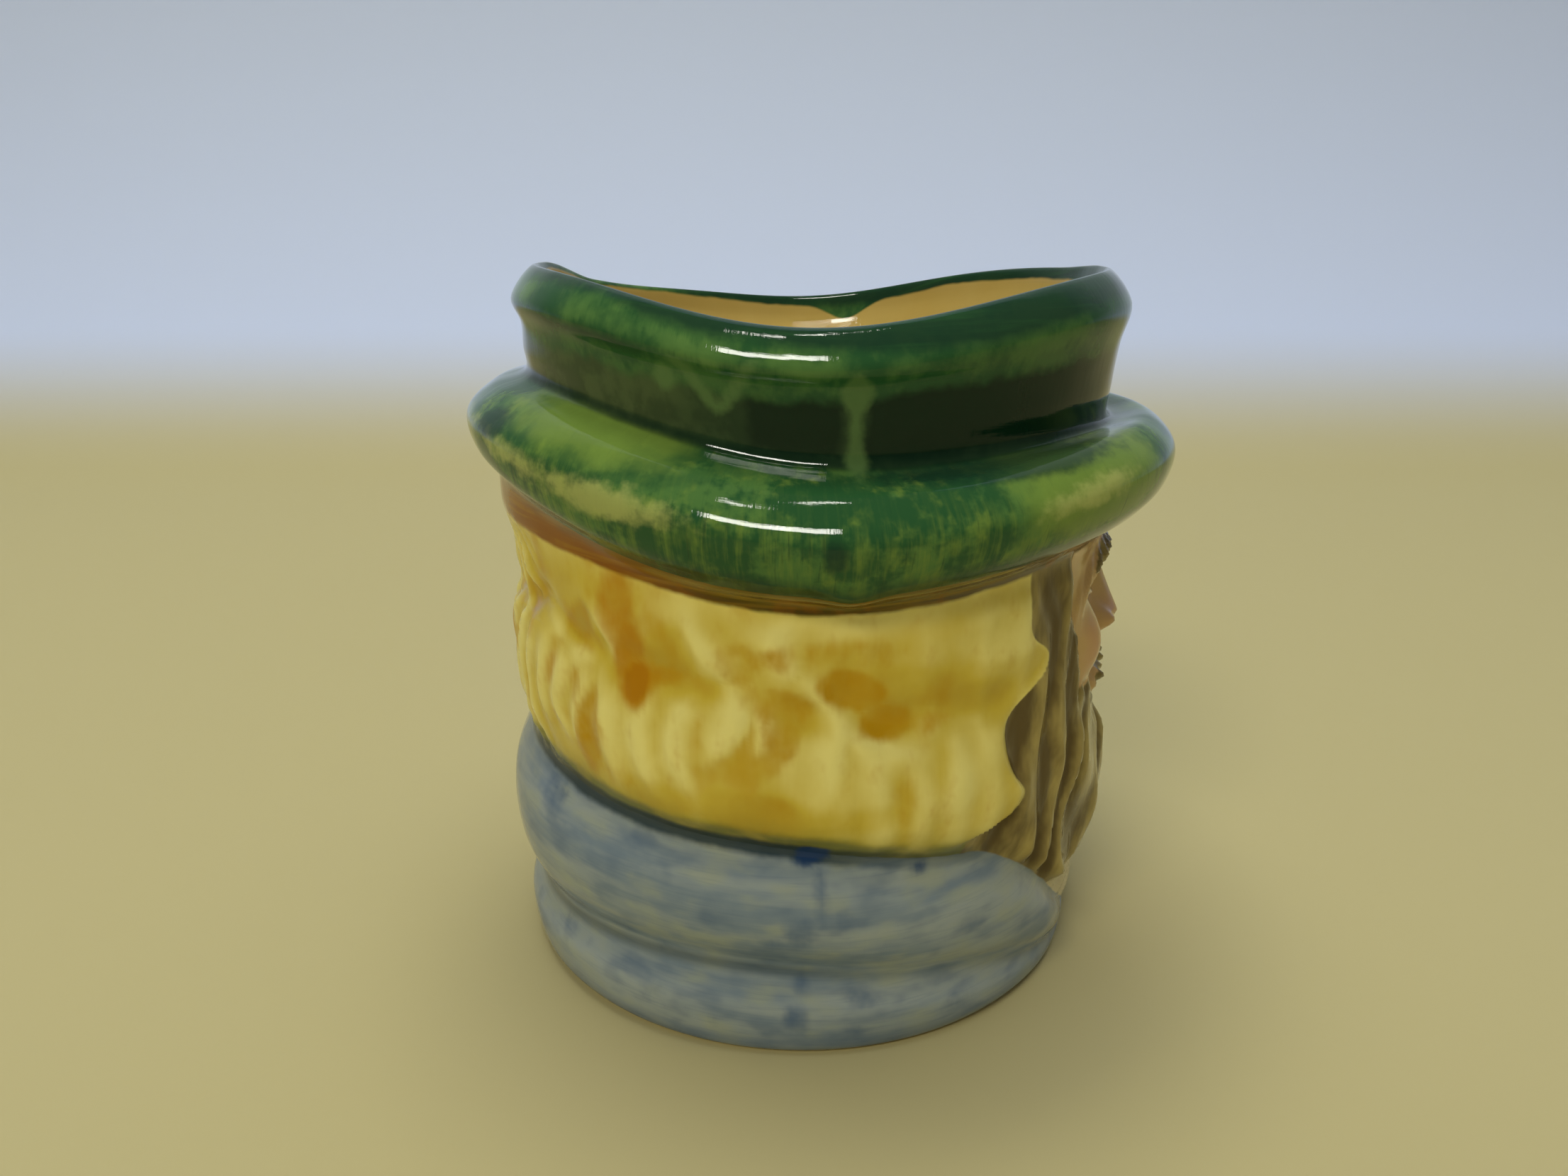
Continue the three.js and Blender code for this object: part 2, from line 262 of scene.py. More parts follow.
def hair_relief(turn, z):
    """Height of the carved hair over the plain head, and how much of a valley a point is in."""
    degrees = from_face(turn)
    shift = np.where(np.sin(turn) < 0, 0.0, CARVING_SHIFT)
    line = read(TIER_LINE, degrees) + 0.3 * np.sin(degrees / 3.1)
    bottom = collar_height(turn)
    fall = np.clip((z - bottom) / (line - bottom), 0, 1)
    below = 1 - smooth(z, line - 1.2, line + 0.9)

    at_back = smooth(degrees - shift, 142, 150)
    by_face = 1 - smooth(degrees - shift, 80, 88)
    uneven = 0.9 * np.sin(degrees / 7.3) + 0.5 * np.sin(degrees / 2.9 + z / 9)
    sweep = read(UPPER_SWEEP, degrees) * (z - 41)
    upper = strand((degrees + uneven - sweep) / 9.5 + 0.1) * (at_back + 0.2 * by_face)
    lower = strand(back_phase(degrees + 0.5 * uneven, fall)) * at_back
    beside_face = lock((degrees + 0.5 * np.sin(z / 3) - FACE_VALLEY) / FACE_LOCK)
    lower = lower + by_face * 0.3 * beside_face
    raised = below * lower + (1 - below) * upper
    swell = raised
    for points in LOCK_LINES:
        away, share = along_line(degrees - shift, z, curved(points))
        taper = np.sin(np.pi * np.clip(0.08 + 0.84 * share, 0, 1)) ** 0.7
        raised = np.maximum(raised, taper * mound(away, 0.65))
        swell = np.maximum(swell, taper * mound(away, 1.7))
    plump = below * 0.8 * np.sin(np.pi * np.clip(fall * 1.03, 0, 1)) ** 0.7
    plump = plump * (1 - 0.35 * smooth(degrees, 100, 140))
    tuck = 0.35 + 0.35 * smooth(degrees, 110, 135) + 0.1 * by_face
    tuck = tuck * mound(z - line - 0.9 - 1.3 * by_face, 1.5 + 0.5 * by_face)
    lumps = 0.14 * np.sin(degrees / 4.1 + z / 1.9) * np.sin(z / 2.7 + degrees / 9)
    height = HAIR_THICKNESS + STRAND_HEIGHT * (0.5 * raised + 0.6 * swell) + plump - tuck + lumps
    height = height - 0.7 * smooth(degrees, 100, 140) - 0.6 * smooth(degrees, 140, 162)
    height = height - 0.8 * smooth(degrees, 120, 150) * smooth(z, 38, 42)
    valley = 0.55 - 0.45 * raised - 0.85 * swell - 0.2 * plump + 0.5 * tuck - lumps
    return height, valley


# ---- The face: a calm one on plain thirds, with bushy brows, whiskers and a full beard ----

FACE_ARC = 31  # radius that turns an angle into a distance round the face
BROW_HEIGHT = 43.4
EYE_HEIGHT = 39.6
EYE_OUT = 7.2
NOSE_TOP = 42.5
NOSE_TIP = 33.6
MOUTH_HEIGHT = 28.6


def across_face(turn):
    """Millimetres round the face from its middle."""
    return FACE_ARC * np.arctan2(np.sin(turn), np.cos(turn))


def eye_opening(s, z):
    """Positive inside the almond of the open eye, in millimetres from its lids."""
    across = np.abs(s) - EYE_OUT
    upper = 1.55 * (1 - (across / 3.7) ** 2)
    low = -1.15 * (1 - (across / 3.7) ** 2)
    return np.minimum(upper - (z - EYE_HEIGHT), (z - EYE_HEIGHT) - low)


def brow_line(s):
    return BROW_HEIGHT - 0.05 * (np.abs(s) - 7.5) ** 2


def beard_top(s):
    out = np.abs(s)
    return 26 + 4.5 * smooth(out, 4, 15) + 16 * smooth(out, 16.5, 21.5) + 0.5 * np.sin(s * 2.3)


def beard_phase(s, z):
    wave = np.sin(z / 3.1 + 0.5 * np.abs(s)) + 0.6 * np.sin(z / 6.5 - 0.3 * s)
    return s / 5.4 + 0.5 + 0.17 * wave + 0.25 * np.sin(s / 3.3)


def moustache_line(s):
    out = np.abs(s)
    return MOUTH_HEIGHT + 2.0 - 0.028 * out * out


def face_relief(turn, z):
    """Height of the face and beard over the plain head, and how much of a valley a point is in."""
    s = across_face(turn)
    out = np.abs(s)
    along = np.clip((NOSE_TOP - z) / (NOSE_TOP - NOSE_TIP), 0, 1)
    ridge = (1.2 + 3.2 * along**1.3) * smooth(z, NOSE_TIP - 2.6, NOSE_TIP + 0.3)
    ridge = ridge * (1 - smooth(z, NOSE_TOP, NOSE_TOP + 2.5))
    nose = ridge * mound(s, 2.05 + 1.0 * along)
    wing = 1.9 * bump(out - 3.3, z - NOSE_TIP + 0.1, 1.25, 1.45)
    nostril = -0.8 * bump(out - 1.9, z - NOSE_TIP + 1.6, 0.8, 0.6)

    socket = -2.0 * bump(out - EYE_OUT, z - EYE_HEIGHT - 0.3, 4.4, 2.8)
    ball = 1.7 * bump(out - EYE_OUT, z - EYE_HEIGHT, 3.0, 1.9)
    opening = eye_opening(s, z)
    lids = 0.55 * mound(opening + 0.35, 0.45) * mound(out - EYE_OUT, 4.6)
    brow = 1.9 * mound(out - 8, 5.4) ** 0.6 * mound(z - brow_line(s), 1.5)
    brow = brow * (1 + 0.22 * np.sin(out * 4.2 + z * 2.2)) * smooth(out, 1.6, 3.2)

    cheek = 1.9 * bump(out - 13, z - 34.5, 5, 4)
    fold = -0.5 * mound(out - 5.4 - 0.25 * (33 - z), 1.0) * mound(z - 31.5, 3)
    lips = 0.9 * bump(s, z - MOUTH_HEIGHT + 1.5, 3.6, 0.8)
    lips = lips + 0.3 * bump(s, z - MOUTH_HEIGHT - 0.1, 3.4, 0.5)
    tache = 1.9 * mound(z - moustache_line(s), 1.35) * smooth(out, 0.2, 1.6)
    tache = tache * (1 - smooth(out, 7, 10.5)) * (1 + 0.16 * np.sin(out * 3.6 - z * 2.6))

    top = beard_top(s)
    cover = 1 - smooth(z, top - 1.1, top + 0.5)
    end = smooth(z, 8.3 + 0.002 * s * s, 10.6 + 0.002 * s * s)
    tip = 2.0 * bump(s, z - 17, 10, 7)
    grown = smooth(top - z, -0.2, 4.0)
    curl = 0.8 + 0.3 * np.sin(z / 2.3 + s / 1.9)
    locks = 1.0 * curl * lock(beard_phase(s, z)) * (1 - 0.5 * smooth(z, 24, 36)) * grown
    fine = 0.08 * grown * np.sin(2 * np.pi * (2.7 * beard_phase(s, z) + 0.3 * np.sin(z / 2.2)))
    beard = cover * end * (0.6 + tip + locks + fine)

    cloth = 1 - smooth(z, 8.6, 10.2)
    knot = 0.9 * bump(s, z - 6.0, 3.1, 2.3)
    cloth = cloth * (0.2 + knot + 0.3 * np.sin(z * 2.1 + out * 0.5) * (1 - bump(s, z - 6, 3, 2)))
    soft = nose + wing + nostril + socket + ball + lids + brow + cheek + fold + lips + tache
    return soft + beard + cloth, cover * end * (0.62 - lock(beard_phase(s, z)))


# ---- Rings of the profile, from the middle of the underside to the middle of the floor ----


def brim_droop(turn):
    """The brim's underside sags behind the ears."""
    return BRIM_DROOP * mound(from_face(turn) - 122, 30)


def rim_sag(turn):
    """The rim isn't level: it sinks on the handle's side, most behind the ear."""
    degrees = from_face(turn)
    sag = 0.35 * smooth(degrees, 0, 20) + RIM_SAG * mound(degrees - 137, 30)
    return sag * (1 - smooth(degrees, 150, 176)) * (np.sin(turn) > 0)


def same(size):
    return (size, size, size)


def turned(radius, height, rows):
    """A ring of the profile: its radius, its height and the rows of clay up to the next one."""
    return (lambda a: round_head(a, radius), lambda a: round_head(a, height), rows)


def lowered(radius, height, drop, share, rows):
    """A turned ring whose height is lowered by a share of a droop or sag."""
    return (
        lambda a: round_head(a, radius),
        lambda a: round_head(a, height) - share * drop(a),
        rows,
    )


def low_roll(turn, share):
    return round_head(turn, BASE_RADIUS) + share * roll_bulge(fold_height(turn))


def high_roll(turn, share):
    gap = collar_height(turn) - fold_height(turn)
    return round_head(turn, BASE_RADIUS) - 0.3 + share * roll_bulge(gap)


RINGS = {
    "recess": turned(same(0), same(FOOT_RECESS), 2),
    "recess_rim": turned(same(24.2), same(FOOT_RECESS), 3),
    "foot_inside": turned(same(25.4), same(0), 2),
    "foot_outside": turned(less(BASE_RADIUS, 0.9), same(0), 3),
    "base": turned(BASE_RADIUS, same(BASE_EDGE), 6),
    "low_roll": (
        lambda a: low_roll(a, 0.35),
        lambda a: BASE_EDGE + 0.55 * (fold_height(a) - BASE_EDGE),
        6,
    ),
    "fold": (lambda a: low_roll(a, -0.8) + 0.5, fold_height, 8),
    "roll_under": (
        lambda a: high_roll(a, 0.9),
        lambda a: fold_height(a) + 0.3 * (collar_height(a) - fold_height(a)),
        7,
    ),
    "roll_over": (
        lambda a: high_roll(a, 1.0),
        lambda a: fold_height(a) + 0.65 * (collar_height(a) - fold_height(a)),
        9,
    ),
    "collar": (lambda a: round_head(a, HEAD_RADIUS) - 0.6, collar_height, 26),
    "head": turned(HEAD_RADIUS, (23.5, 26.0, 29.5), 62),
    "hat_line": turned((31.4, 30.9, 30.2), HAT_LINE, 9),
    "brim_under": lowered(less(BRIM_RADIUS, 2.2), BRIM_UNDER, brim_droop, 1, 6),
    "brim_low": lowered(less(BRIM_RADIUS, 0.5), (50.4, 48.0, 54.0), brim_droop, 0.8, 6),
    "brim_edge": turned(BRIM_RADIUS, (53.6, 50.4, 56.6), 7),
    "brim_top": turned(less(BRIM_RADIUS, 2.6), (56.2, 53.4, 59.0), 8),
    "crease": turned(less(WAIST_RADIUS, 0.1), (55.8, 55.2, 60.3), 7),
    "waist": lowered(WAIST_RADIUS, (59.2, 58.4, 62.4), rim_sag, 0.3, 7),
    "lip_low": lowered(less(LIP_RADIUS, 0.8), (62.9, 61.2, 64.7), rim_sag, 0.65, 6),
    "lip": lowered(LIP_RADIUS, less(RIM_HEIGHT, 3.0), rim_sag, 0.75, 8),
    "rim": lowered(less(LIP_RADIUS, 2.4), RIM_HEIGHT, rim_sag, 1, 7),
    "rim_inside": lowered(less(LIP_RADIUS, 3.2), less(RIM_HEIGHT, 2.6), rim_sag, 1, 6),
    "throat": turned(less(WAIST_RADIUS, WALL + 0.8), (58, 57, 60), 6),
    "inside": turned(less(HEAD_RADIUS, WALL), same(32), 5),
    "inside_low": turned(less(BASE_RADIUS, WALL + 0.6), same(10), 4),
    "floor_edge": turned(less(BASE_RADIUS, WALL + 4.6), same(FLOOR + 0.2), 3),
    "floor": turned(same(0), same(FLOOR), 0),
}
NAMES = list(RINGS)
ROWS = sum(ring[2] for ring in RINGS.values()) + 1
FIRST_ROW = dict(zip(NAMES, np.cumsum([0] + [ring[2] for ring in RINGS.values()])))


# ---- The decoration ----


def patch(degrees, z, centre, size, lean=0.0):
    """Positive inside an oval patch of paint, in millimetres from its edge."""
    x = (degrees - centre[0]) * MM_PER_DEGREE
    y = z - centre[1]
    x, y = x * math.cos(lean) + y * math.sin(lean), y * math.cos(lean) - x * math.sin(lean)
    return (1 - np.hypot(x / size[0], y / size[1])) * min(size)


OCHRE_PATCHES = (  # (degrees, height), (half width, half height), lean, how strong
    ((82, 36.5), (3.2, 1.7), 0.36, 1.25), ((76.4, 33.4), (2.2, 1.7), 0, 1.25),
    ((112.5, 36.9), (2.6, 0.9), 0, 0.7), ((131.4, 34.2), (0.9, 1.7), 0.2, 0.7),
    ((128.3, 29.6), (1.7, 4.4), 0.19, 1.05), ((70.5, 33), (2.4, 1), 0, 0.6),
    ((123, 26.2), (1.5, 1), 0, 0.5), ((99.7, 38.6), (2, 1.9), 0, 0.6),
    ((93.7, 39.3), (1.7, 1), 0, 0.6), ((93.5, 35.2), (3.4, 1.7), 0.2, 0.65),
    ((92.8, 32.4), (1.5, 2.2), 0, 0.75), ((82.6, 39.6), (3.8, 1.5), 0, 0.35),
    ((73.4, 25.6), (0.9, 2.2), 0, 0.5), ((133, 39.6), (1, 2.6), -0.6, 0.5),
    ((152, 30), (1, 3.2), 0.2, 0.7), ((163, 34.5), (1.2, 2.2), 0, 0.8),
    ((172, 27.5), (1, 2.8), 0, 0.6), ((158, 41), (1.3, 2), -0.3, 0.6),
)  # fmt: skip
PALE_PATCHES = (
    ((88.5, 29.3), (2.4, 3.4), 0, 0.9), ((102, 33.2), (2, 2.2), 0, 0.7),
    ((106.5, 34.6), (2.2, 1.2), 0, 0.6), ((120.5, 31.5), (1.5, 4.5), 0.1, 0.8),
    ((111.5, 27.8), (1.8, 2.6), 0.2, 0.5), ((88, 41.8), (5, 1.3), -0.1, 0.7),
    ((113.5, 41.5), (1.8, 2.4), 0, 0.6), ((55, 40), (6, 2.6), 0, 0.8),
    ((66, 29.5), (4, 5), 0, 0.5), ((134, 35.5), (2.6, 1.6), 0, 0.5),
    ((79, 28.5), (1.4, 4), 0, 0.5), ((150, 36), (2.5, 3), 0, 0.6),
    ((165, 29), (2, 3.5), 0, 0.7), ((176, 40), (3, 2), 0, 0.6),
)  # fmt: skip
SHADE_PATCHES = (
    ((131, 39.6), (1.2, 3.4), 0.65, 1.2), ((110.5, 39.2), (2.4, 2.6), 0.5, 0.9),
    ((106.5, 35.9), (2.2, 1.2), 0, 0.7), ((72, 36.4), (5, 1.9), 0.1, 0.7),
    ((62, 34.6), (4.5, 1.6), 0, 0.7), ((98, 30.6), (1.5, 2.5), 0, 0.45),
    ((97.5, 25.4), (5.5, 2.2), 0.1, 0.8), ((114, 25.6), (3.5, 1.6), 0.1, 0.7),
    ((73.5, 24.5), (0.8, 3), 0, 0.7), ((67.4, 28.5), (0.5, 3.6), 0.15, 0.6),
    ((151, 41), (1, 2.6), 0.5, 0.7), ((84, 24.6), (8, 1.2), -0.1, 0.5),
)  # fmt: skip
ORANGE_RUNS = (
    ((120.9, 42.4), (2.1, 3.8), 0, 0.75), ((119, 38.6), (1.6, 3.4), 0.15, 0.95),
    ((117.4, 35.8), (1.5, 2.2), 0.2, 1.3), ((115.2, 36.6), (1.9, 0.8), 0, 0.7),
    ((138.3, 34.8), (0.9, 2.4), 0.45, 0.6),
    ((146.5, 38), (1, 1.8), 0.3, 0.6), ((168, 33), (1.1, 3.6), 0, 0.9),
)  # fmt: skip
COBALT_BLOTS = (
    ((88, 20.9), (1.9, 1.05), -0.35, 1.5), ((83.5, 20.3), (2.4, 0.5), 0, 0.7),
    ((69, 18.6), (1, 0.8), 0, 0.8), ((86.6, 17.6), (0.55, 3.2), 0, 0.75),
    ((89.8, 13.9), (1.5, 1.6), 0.4, 0.75), ((82.6, 14.9), (1, 1.2), 0, 0.6),
    ((94.6, 12.6), (1.1, 0.8), 0, 0.75), ((89.6, 7.4), (0.8, 1.2), 0, 0.7),
    ((90.6, 4.2), (1.3, 1.4), 0, 0.9), ((78.6, 6), (1.9, 0.9), 0.2, 0.75),
    ((80, 2.6), (1.4, 0.9), 0, 0.6), ((60, 3.6), (1.8, 0.9), 0, 0.55),
    ((116, 9.4), (0.9, 0.8), 0, 0.5), ((117, 5.4), (1.5, 0.9), 0, 0.5),
    ((105, 3.6), (0.8, 0.8), 0, 0.5), ((141, 6.6), (1.6, 1.2), 0, 0.55),
    ((60, 12.4), (1.6, 1.2), 0.3, 0.5), ((143.3, 21), (2.5, 2.2), 0, 0.5),
    ((163, 15), (1.8, 2.6), 0, 0.6), ((172, 4.5), (2.2, 1.2), 0, 0.6),
)  # fmt: skip


def amount_of(patches, degrees, z):
    """How strongly the patches cover a point, from 0 to 1."""
    total = np.zeros(np.shape(z))
    for centre, size, lean, strength in patches:
        inside = smooth(patch(degrees, z, centre, size, lean), -0.7, 0.7)
        total = np.maximum(total, strength * inside)
    return total


def paint_spots(turn, z):
    """Ochre pools, runs of orange and cobalt blots. The two sides of the head differ."""
    by_handle = np.sin(turn) > 0
    at = from_face(turn) - HAIR_PAINT_SHIFT * by_handle
    on_coat = from_face(turn) - COAT_PAINT_SHIFT * by_handle
    ochre = amount_of(OCHRE_PATCHES, at, z)
    orange = amount_of(ORANGE_RUNS, at, z)
    tone = amount_of(SHADE_PATCHES, at, z) - amount_of(PALE_PATCHES, at, z)
    return orange, ochre, amount_of(COBALT_BLOTS, on_coat, z), tone


BAND_DRIP = (  # (degrees, height) along the pale drip on the band, and along the run by the seam
    (112, 64.2), (108.5, 62.6), (105.6, 60.6), (103.4, 59.5), (101.2, 60.5), (96.5, 64.0),
)  # fmt: skip
SEAM_RUN = ((82, 64), (81.4, 55.4))
LIP_STREAK = (  # degrees from the face, height of the lighter streak below the lip
    (0, 66.6), (32, 65.7), (38, 65.1), (50, 64.1), (59, 63.2), (70, 62.7), (89, 62.7), (97, 63.4),
    (106, 63.9), (114, 64.8), (126, 66.6), (143, 67.4), (160, 68.0), (180, 68.0),
)  # fmt: skip
HAT_WASHES = (  # (degrees, height), (half width, half height), lean, how thin
    ((125, 57.6), (11.5, 2.6), 0.12, 0), ((46, 53.6), (9.5, 5.0), -0.15, 0),
    ((160, 55.5), (5, 1.6), 0.0, 0),
)  # fmt: skip
HAT_PALE_RUNS = (
    ((118, 52.5), (6.5, 1.5), 0.12, 0), ((137, 54.6), (9, 0.9), 0.2, 0),
    ((48, 52.6), (6, 1.4), -0.2, 0.3), ((160, 56.2), (6, 0.8), 0.1, 0),
)  # fmt: skip
# dark blots; the long one at 60 degrees is painted shade on the brim just under the band
HAT_DARK_BLOTS_AND_SHADE = (
    ((86, 49.3), (0.9, 1.7), 0.0, 0), ((60, 55.3), (12, 1.3), -0.05, 0),
    ((146, 56.8), (3.2, 1.5), 0.0, 0.2),
)  # fmt: skip


def on_hat(turn):
    """Degrees from the face in the hat's paint, which lies further back on the handle's side."""
    return from_face(turn) - HAT_PAINT_SHIFT * (np.sin(turn) > 0)


def hat_washes(turn, z):
    """Yellow-green washes, pale runs, and dark blots with painted shade, in the green of the hat."""
    at = on_hat(turn)
    kinds = (HAT_WASHES, HAT_PALE_RUNS, HAT_DARK_BLOTS_AND_SHADE)
    return [
        np.max([patch(at, z, centre, size, lean) - thin for centre, size, lean, thin in kind], axis=0)
        for kind in kinds
    ]


def band_marks(turn, z, up, band_width):
    """The dark panels of the hat band, the pale runs between them, and the streak above."""
    at = on_hat(turn)
    inside_band = np.minimum(up - 0.4, band_width - up)
    near = np.minimum((at - 83.6) * 0.5, (98.5 - at) * 0.5)
    panels = np.minimum(np.maximum(near, (80 - at) * 0.5), inside_band)
    drip = along_line(at, z, curved(BAND_DRIP))[0]
    seam_width = 0.55 + 0.5 * smooth(z, 56.5, 55) + 1.5 * smooth(z, 58.8, 62.2)
    seam = along_line(at, z, SEAM_RUN)[0]
    run = 0.55 - drip - 2 * smooth(z, 63.2, 64.4)
    run = np.maximum(run, seam_width - seam - 2.6 * smooth(z, 60.4, 63.4))
    run = np.maximum(run, patch(at, z, (112.4, 61.8), (1.5, 1.3)) - 0.25)
    streak = 0.9 - np.abs(z - read(LIP_STREAK, at))
    return panels, run, streak


def band_rise(turn):
    """How much higher the band's dark paint reaches in front of the mould's seam."""
    return 0.8 * (1 - smooth(from_face(turn), 74, 84))


def rim_paint(turn):
    """How much higher the green ends inside the rim: least in a run on the handle's side."""
    degrees = np.degrees(turn) % 360
    higher = 0.8 * smooth(from_face(turn), 90, 125) + 0.4 * smooth(np.sin(turn), 0, 0.4)
    return higher - 1.9 * mound(degrees - 77, 6)


def press_profile(turn):
    """Distance from the axis and height of all rows of the plain form, before its relief."""
    knots = []
    for name, (radius, height, _) in RINGS.items():
        z = height(turn) * np.ones(COLUMNS)
        if name == "brim_under":
            z = z - SEAM_NICK * mound(from_face(turn) - SEAM, 4)
        knots.append(np.stack([radius(turn) * np.ones(COLUMNS), z], axis=-1))
    line = flowing_line(np.array(knots), [RINGS[n][2] for n in NAMES[:-1]])
    return line[..., 0], line[..., 1]


def press_clay():
    """Places of all rows and columns of clay, and the decoration's fields over them."""
    step = np.arange(COLUMNS) / COLUMNS * 2 * np.pi
    turn = step - FACE_CROWDING * np.sin(step)
    radius, z = press_profile(turn)
    length = np.zeros_like(z)
    length[1:] = np.cumsum(np.hypot(np.diff(radius, axis=0), np.diff(z, axis=0)), axis=0)
    z = np.maximum(z, 0)
    turns = np.broadcast_to(turn, z.shape)

    row = np.arange(ROWS)[:, None]
    carved = (row > FIRST_ROW["collar"]) & (row < FIRST_ROW["hat_line"] + 3)
    hat_line = round_head(turn, HAT_LINE)
    keep = smooth(z, collar_height(turn) - 0.2, collar_height(turn) + 2.4) ** 0.6
    keep = keep * (1 - smooth(z, hat_line - 3.2, hat_line + 0.6)) * carved
    hair, hair_valley = hair_relief(turns, z)
    face, beard_valley = face_relief(turns, z)
    out_of_face = (from_face(turns) - hair_edge(z)) * np.radians(1) * FACE_ARC
    is_hair = smooth(out_of_face, -0.5, 0.9)
    radius = radius + keep * (is_hair * hair + (1 - is_hair) * face)
    outside = (row > FIRST_ROW["base"]) & (row < FIRST_ROW["throat"])
    radius = radius + HAND_UNEVENNESS * np.sin(5 * turns + z / 6) * outside

    where = np.stack([radius * np.sin(turns) + AXIS_X, -radius * np.cos(turns) + AXIS_Y, z], axis=-1)
    fields = band_fields(turns, z, length, out_of_face) | face_fields(turns, z)
    fields["carving"] = (hair_valley * is_hair * keep, beard_valley * (1 - is_hair) * keep, keep)
    *fields["spots"], tone = paint_spots(turns, z)
    fields["tone"] = (tone, tone, tone)
    joined = {n: np.stack(np.broadcast_arrays(*parts), axis=-1) for n, parts in fields.items()}
    return where, joined


def band_fields(turns, z, length, out_of_face):
    """How far each point lies past the edges where one colour gives way to the next."""

    def past(name):
        return length - length[FIRST_ROW[name]]

    band_width = past("crease")[FIRST_ROW["lip_low"]]
    return {
        "hat_bands": (past("brim_under"), past("crease"), past("lip_low") - band_rise(turns)),
        "rim_bands": (past("rim") + rim_paint(turns), past("hat_line"), past("base")),
        "coat_bands": (z - collar_height(turns), z - fold_height(turns), out_of_face),
        "stroke": (30 * np.sin(turns), -30 * np.cos(turns), length),
        "place": (np.degrees(turns) % 360, z, from_face(turns)),
        "hat_washes": hat_washes(turns, z),
        "band_marks": band_marks(turns, z, past("crease"), band_width),
    }


def face_fields(turns, z):
    """How far each point lies inside the eyes, the beard, the brows and the moustache."""
    s = across_face(turns)
    out = np.abs(s)
    iris = 1.35 - np.hypot(out - EYE_OUT, z - EYE_HEIGHT - 0.15)
    beard = np.minimum(beard_top(s) - z, z - 9.2 - 0.002 * s * s)
    brow = 1.25 - np.abs(z - brow_line(s)) - 0.9 * np.maximum(0, np.abs(out - 7.6) - 4.6)
    tache = 1.3 - np.abs(z - moustache_line(s)) - np.maximum(0, out - 7.5) - np.maximum(0, 0.5 - out)
    return {"eyes": (eye_opening(s, z), iris, out - EYE_OUT), "face_paint": (beard, brow, tache)}


# ---- Making the pieces ----


def clear_selection():
    if bpy.context.object and bpy.context.object.mode != "OBJECT":
        bpy.ops.object.mode_set(mode="OBJECT")
    bpy.ops.object.select_all(action="DESELECT")


def select_only(piece):
    clear_selection()
    piece.select_set(True)
    bpy.context.view_layer.objects.active = piece


@contextmanager
def edit_mode(select=None):
    """The active piece in edit mode, with all or none of it selected, or what already was."""
    bpy.ops.object.mode_set(mode="EDIT")
    if select:
        bpy.ops.mesh.select_all(action=select)
    yield
    bpy.ops.object.mode_set(mode="OBJECT")


def choose(elements, chosen):
    """Selects some points or edges of the active piece and nothing else of it."""
    bpy.ops.object.mode_set(mode="EDIT")
    bpy.ops.mesh.select_all(action="DESELECT")
    bpy.ops.object.mode_set(mode="OBJECT")
    elements.foreach_set("select", chosen)


def straight_tube(name, sides, rows):
    """A tube of the given sides and rows: one point drawn up, row by row, then spun."""
    clear_selection()
    bpy.ops.mesh.primitive_plane_add(size=1, location=(1, 0, 0))
    tube = bpy.context.object
    tube.name = tube.data.name = name
    bpy.ops.object.transform_apply(location=True)
    with edit_mode("SELECT"):
        bpy.ops.mesh.merge(type="CENTER")
        for _ in range(rows - 1):
            bpy.ops.mesh.extrude_region_move(TRANSFORM_OT_translate={"value": (0, 0, 1)})
        bpy.ops.mesh.select_all(action="SELECT")
        bpy.ops.mesh.spin(steps=sides, angle=2 * math.pi, center=(0, 0, 0), axis=(0, 0, 1))
        bpy.ops.mesh.select_all(action="SELECT")
        bpy.ops.mesh.remove_doubles(threshold=0.001)
    return tube


def points_of(piece):
    place = np.empty(len(piece.data.vertices) * 3)
    piece.data.vertices.foreach_get("co", place)
    return place.reshape(-1, 3)


def tube_cells(tube, sides):
    """Row and column of each of the tube's points."""
    x, y, z = points_of(tube).T
    column = np.round(np.arctan2(y, x) / (2 * np.pi) * sides).astype(int) % sides
    return np.round(z).astype(int), column


def set_places(piece, where):
    piece.data.vertices.foreach_set("co", (where * MM).astype(np.float32).ravel())
    piece.data.update()


def close_and_face_out(piece):
    select_only(piece)
    with edit_mode("SELECT"):
        bpy.ops.mesh.remove_doubles(threshold=2e-6)
        bpy.ops.mesh.normals_make_consistent(inside=False)


def make_body():
    body = straight_tube("jug_body", COLUMNS, ROWS)
    row, column = tube_cells(body, COLUMNS)
    where, fields = press_clay()
    set_places(body, where[row, column])
    close_and_face_out(body)
    return body, where[row, column], {name: values[row, column] for name, values in fields.items()}


HANDLE_PATH = (  # along the middle of the handle: (distance from the axis, height)
    (28.8, 48.2), (33.5, 49.6), (40.5, 50.4), (46.6, 46.0), (48.6, 37.0),
    (46.4, 27.0), (41.0, 19.2), (35.0, 15.2), (28.8, 13.4),
)  # fmt: skip
HANDLE_LENGTH = 75
HANDLE_WIDTH = 7.6
HANDLE_DEPTH = 5.2
HANDLE_SIDES = 36
HANDLE_ROWS = 97
OUT_OF_REACH = -40.0  # far outside the paint that the handle doesn't have
FILLET = 1.7  # how far from the join the clay is smoothed


def handle_line():
    """Places along the middle of the handle, the way to its hollow side, its flare and its share."""
    spans = len(HANDLE_PATH) - 1
    path = curved(HANDLE_PATH, (HANDLE_ROWS - 1) // spans)
    along = np.gradient(path, axis=0)
    along = along / np.linalg.norm(along, axis=1, keepdims=True)
    share = np.arange(HANDLE_ROWS) / (HANDLE_ROWS - 1)
    flare = 1 + 0.5 * mound(np.minimum(share, 1 - share), 0.07)
    return path, np.stack([-along[:, 1], along[:, 0]], axis=1), flare, share


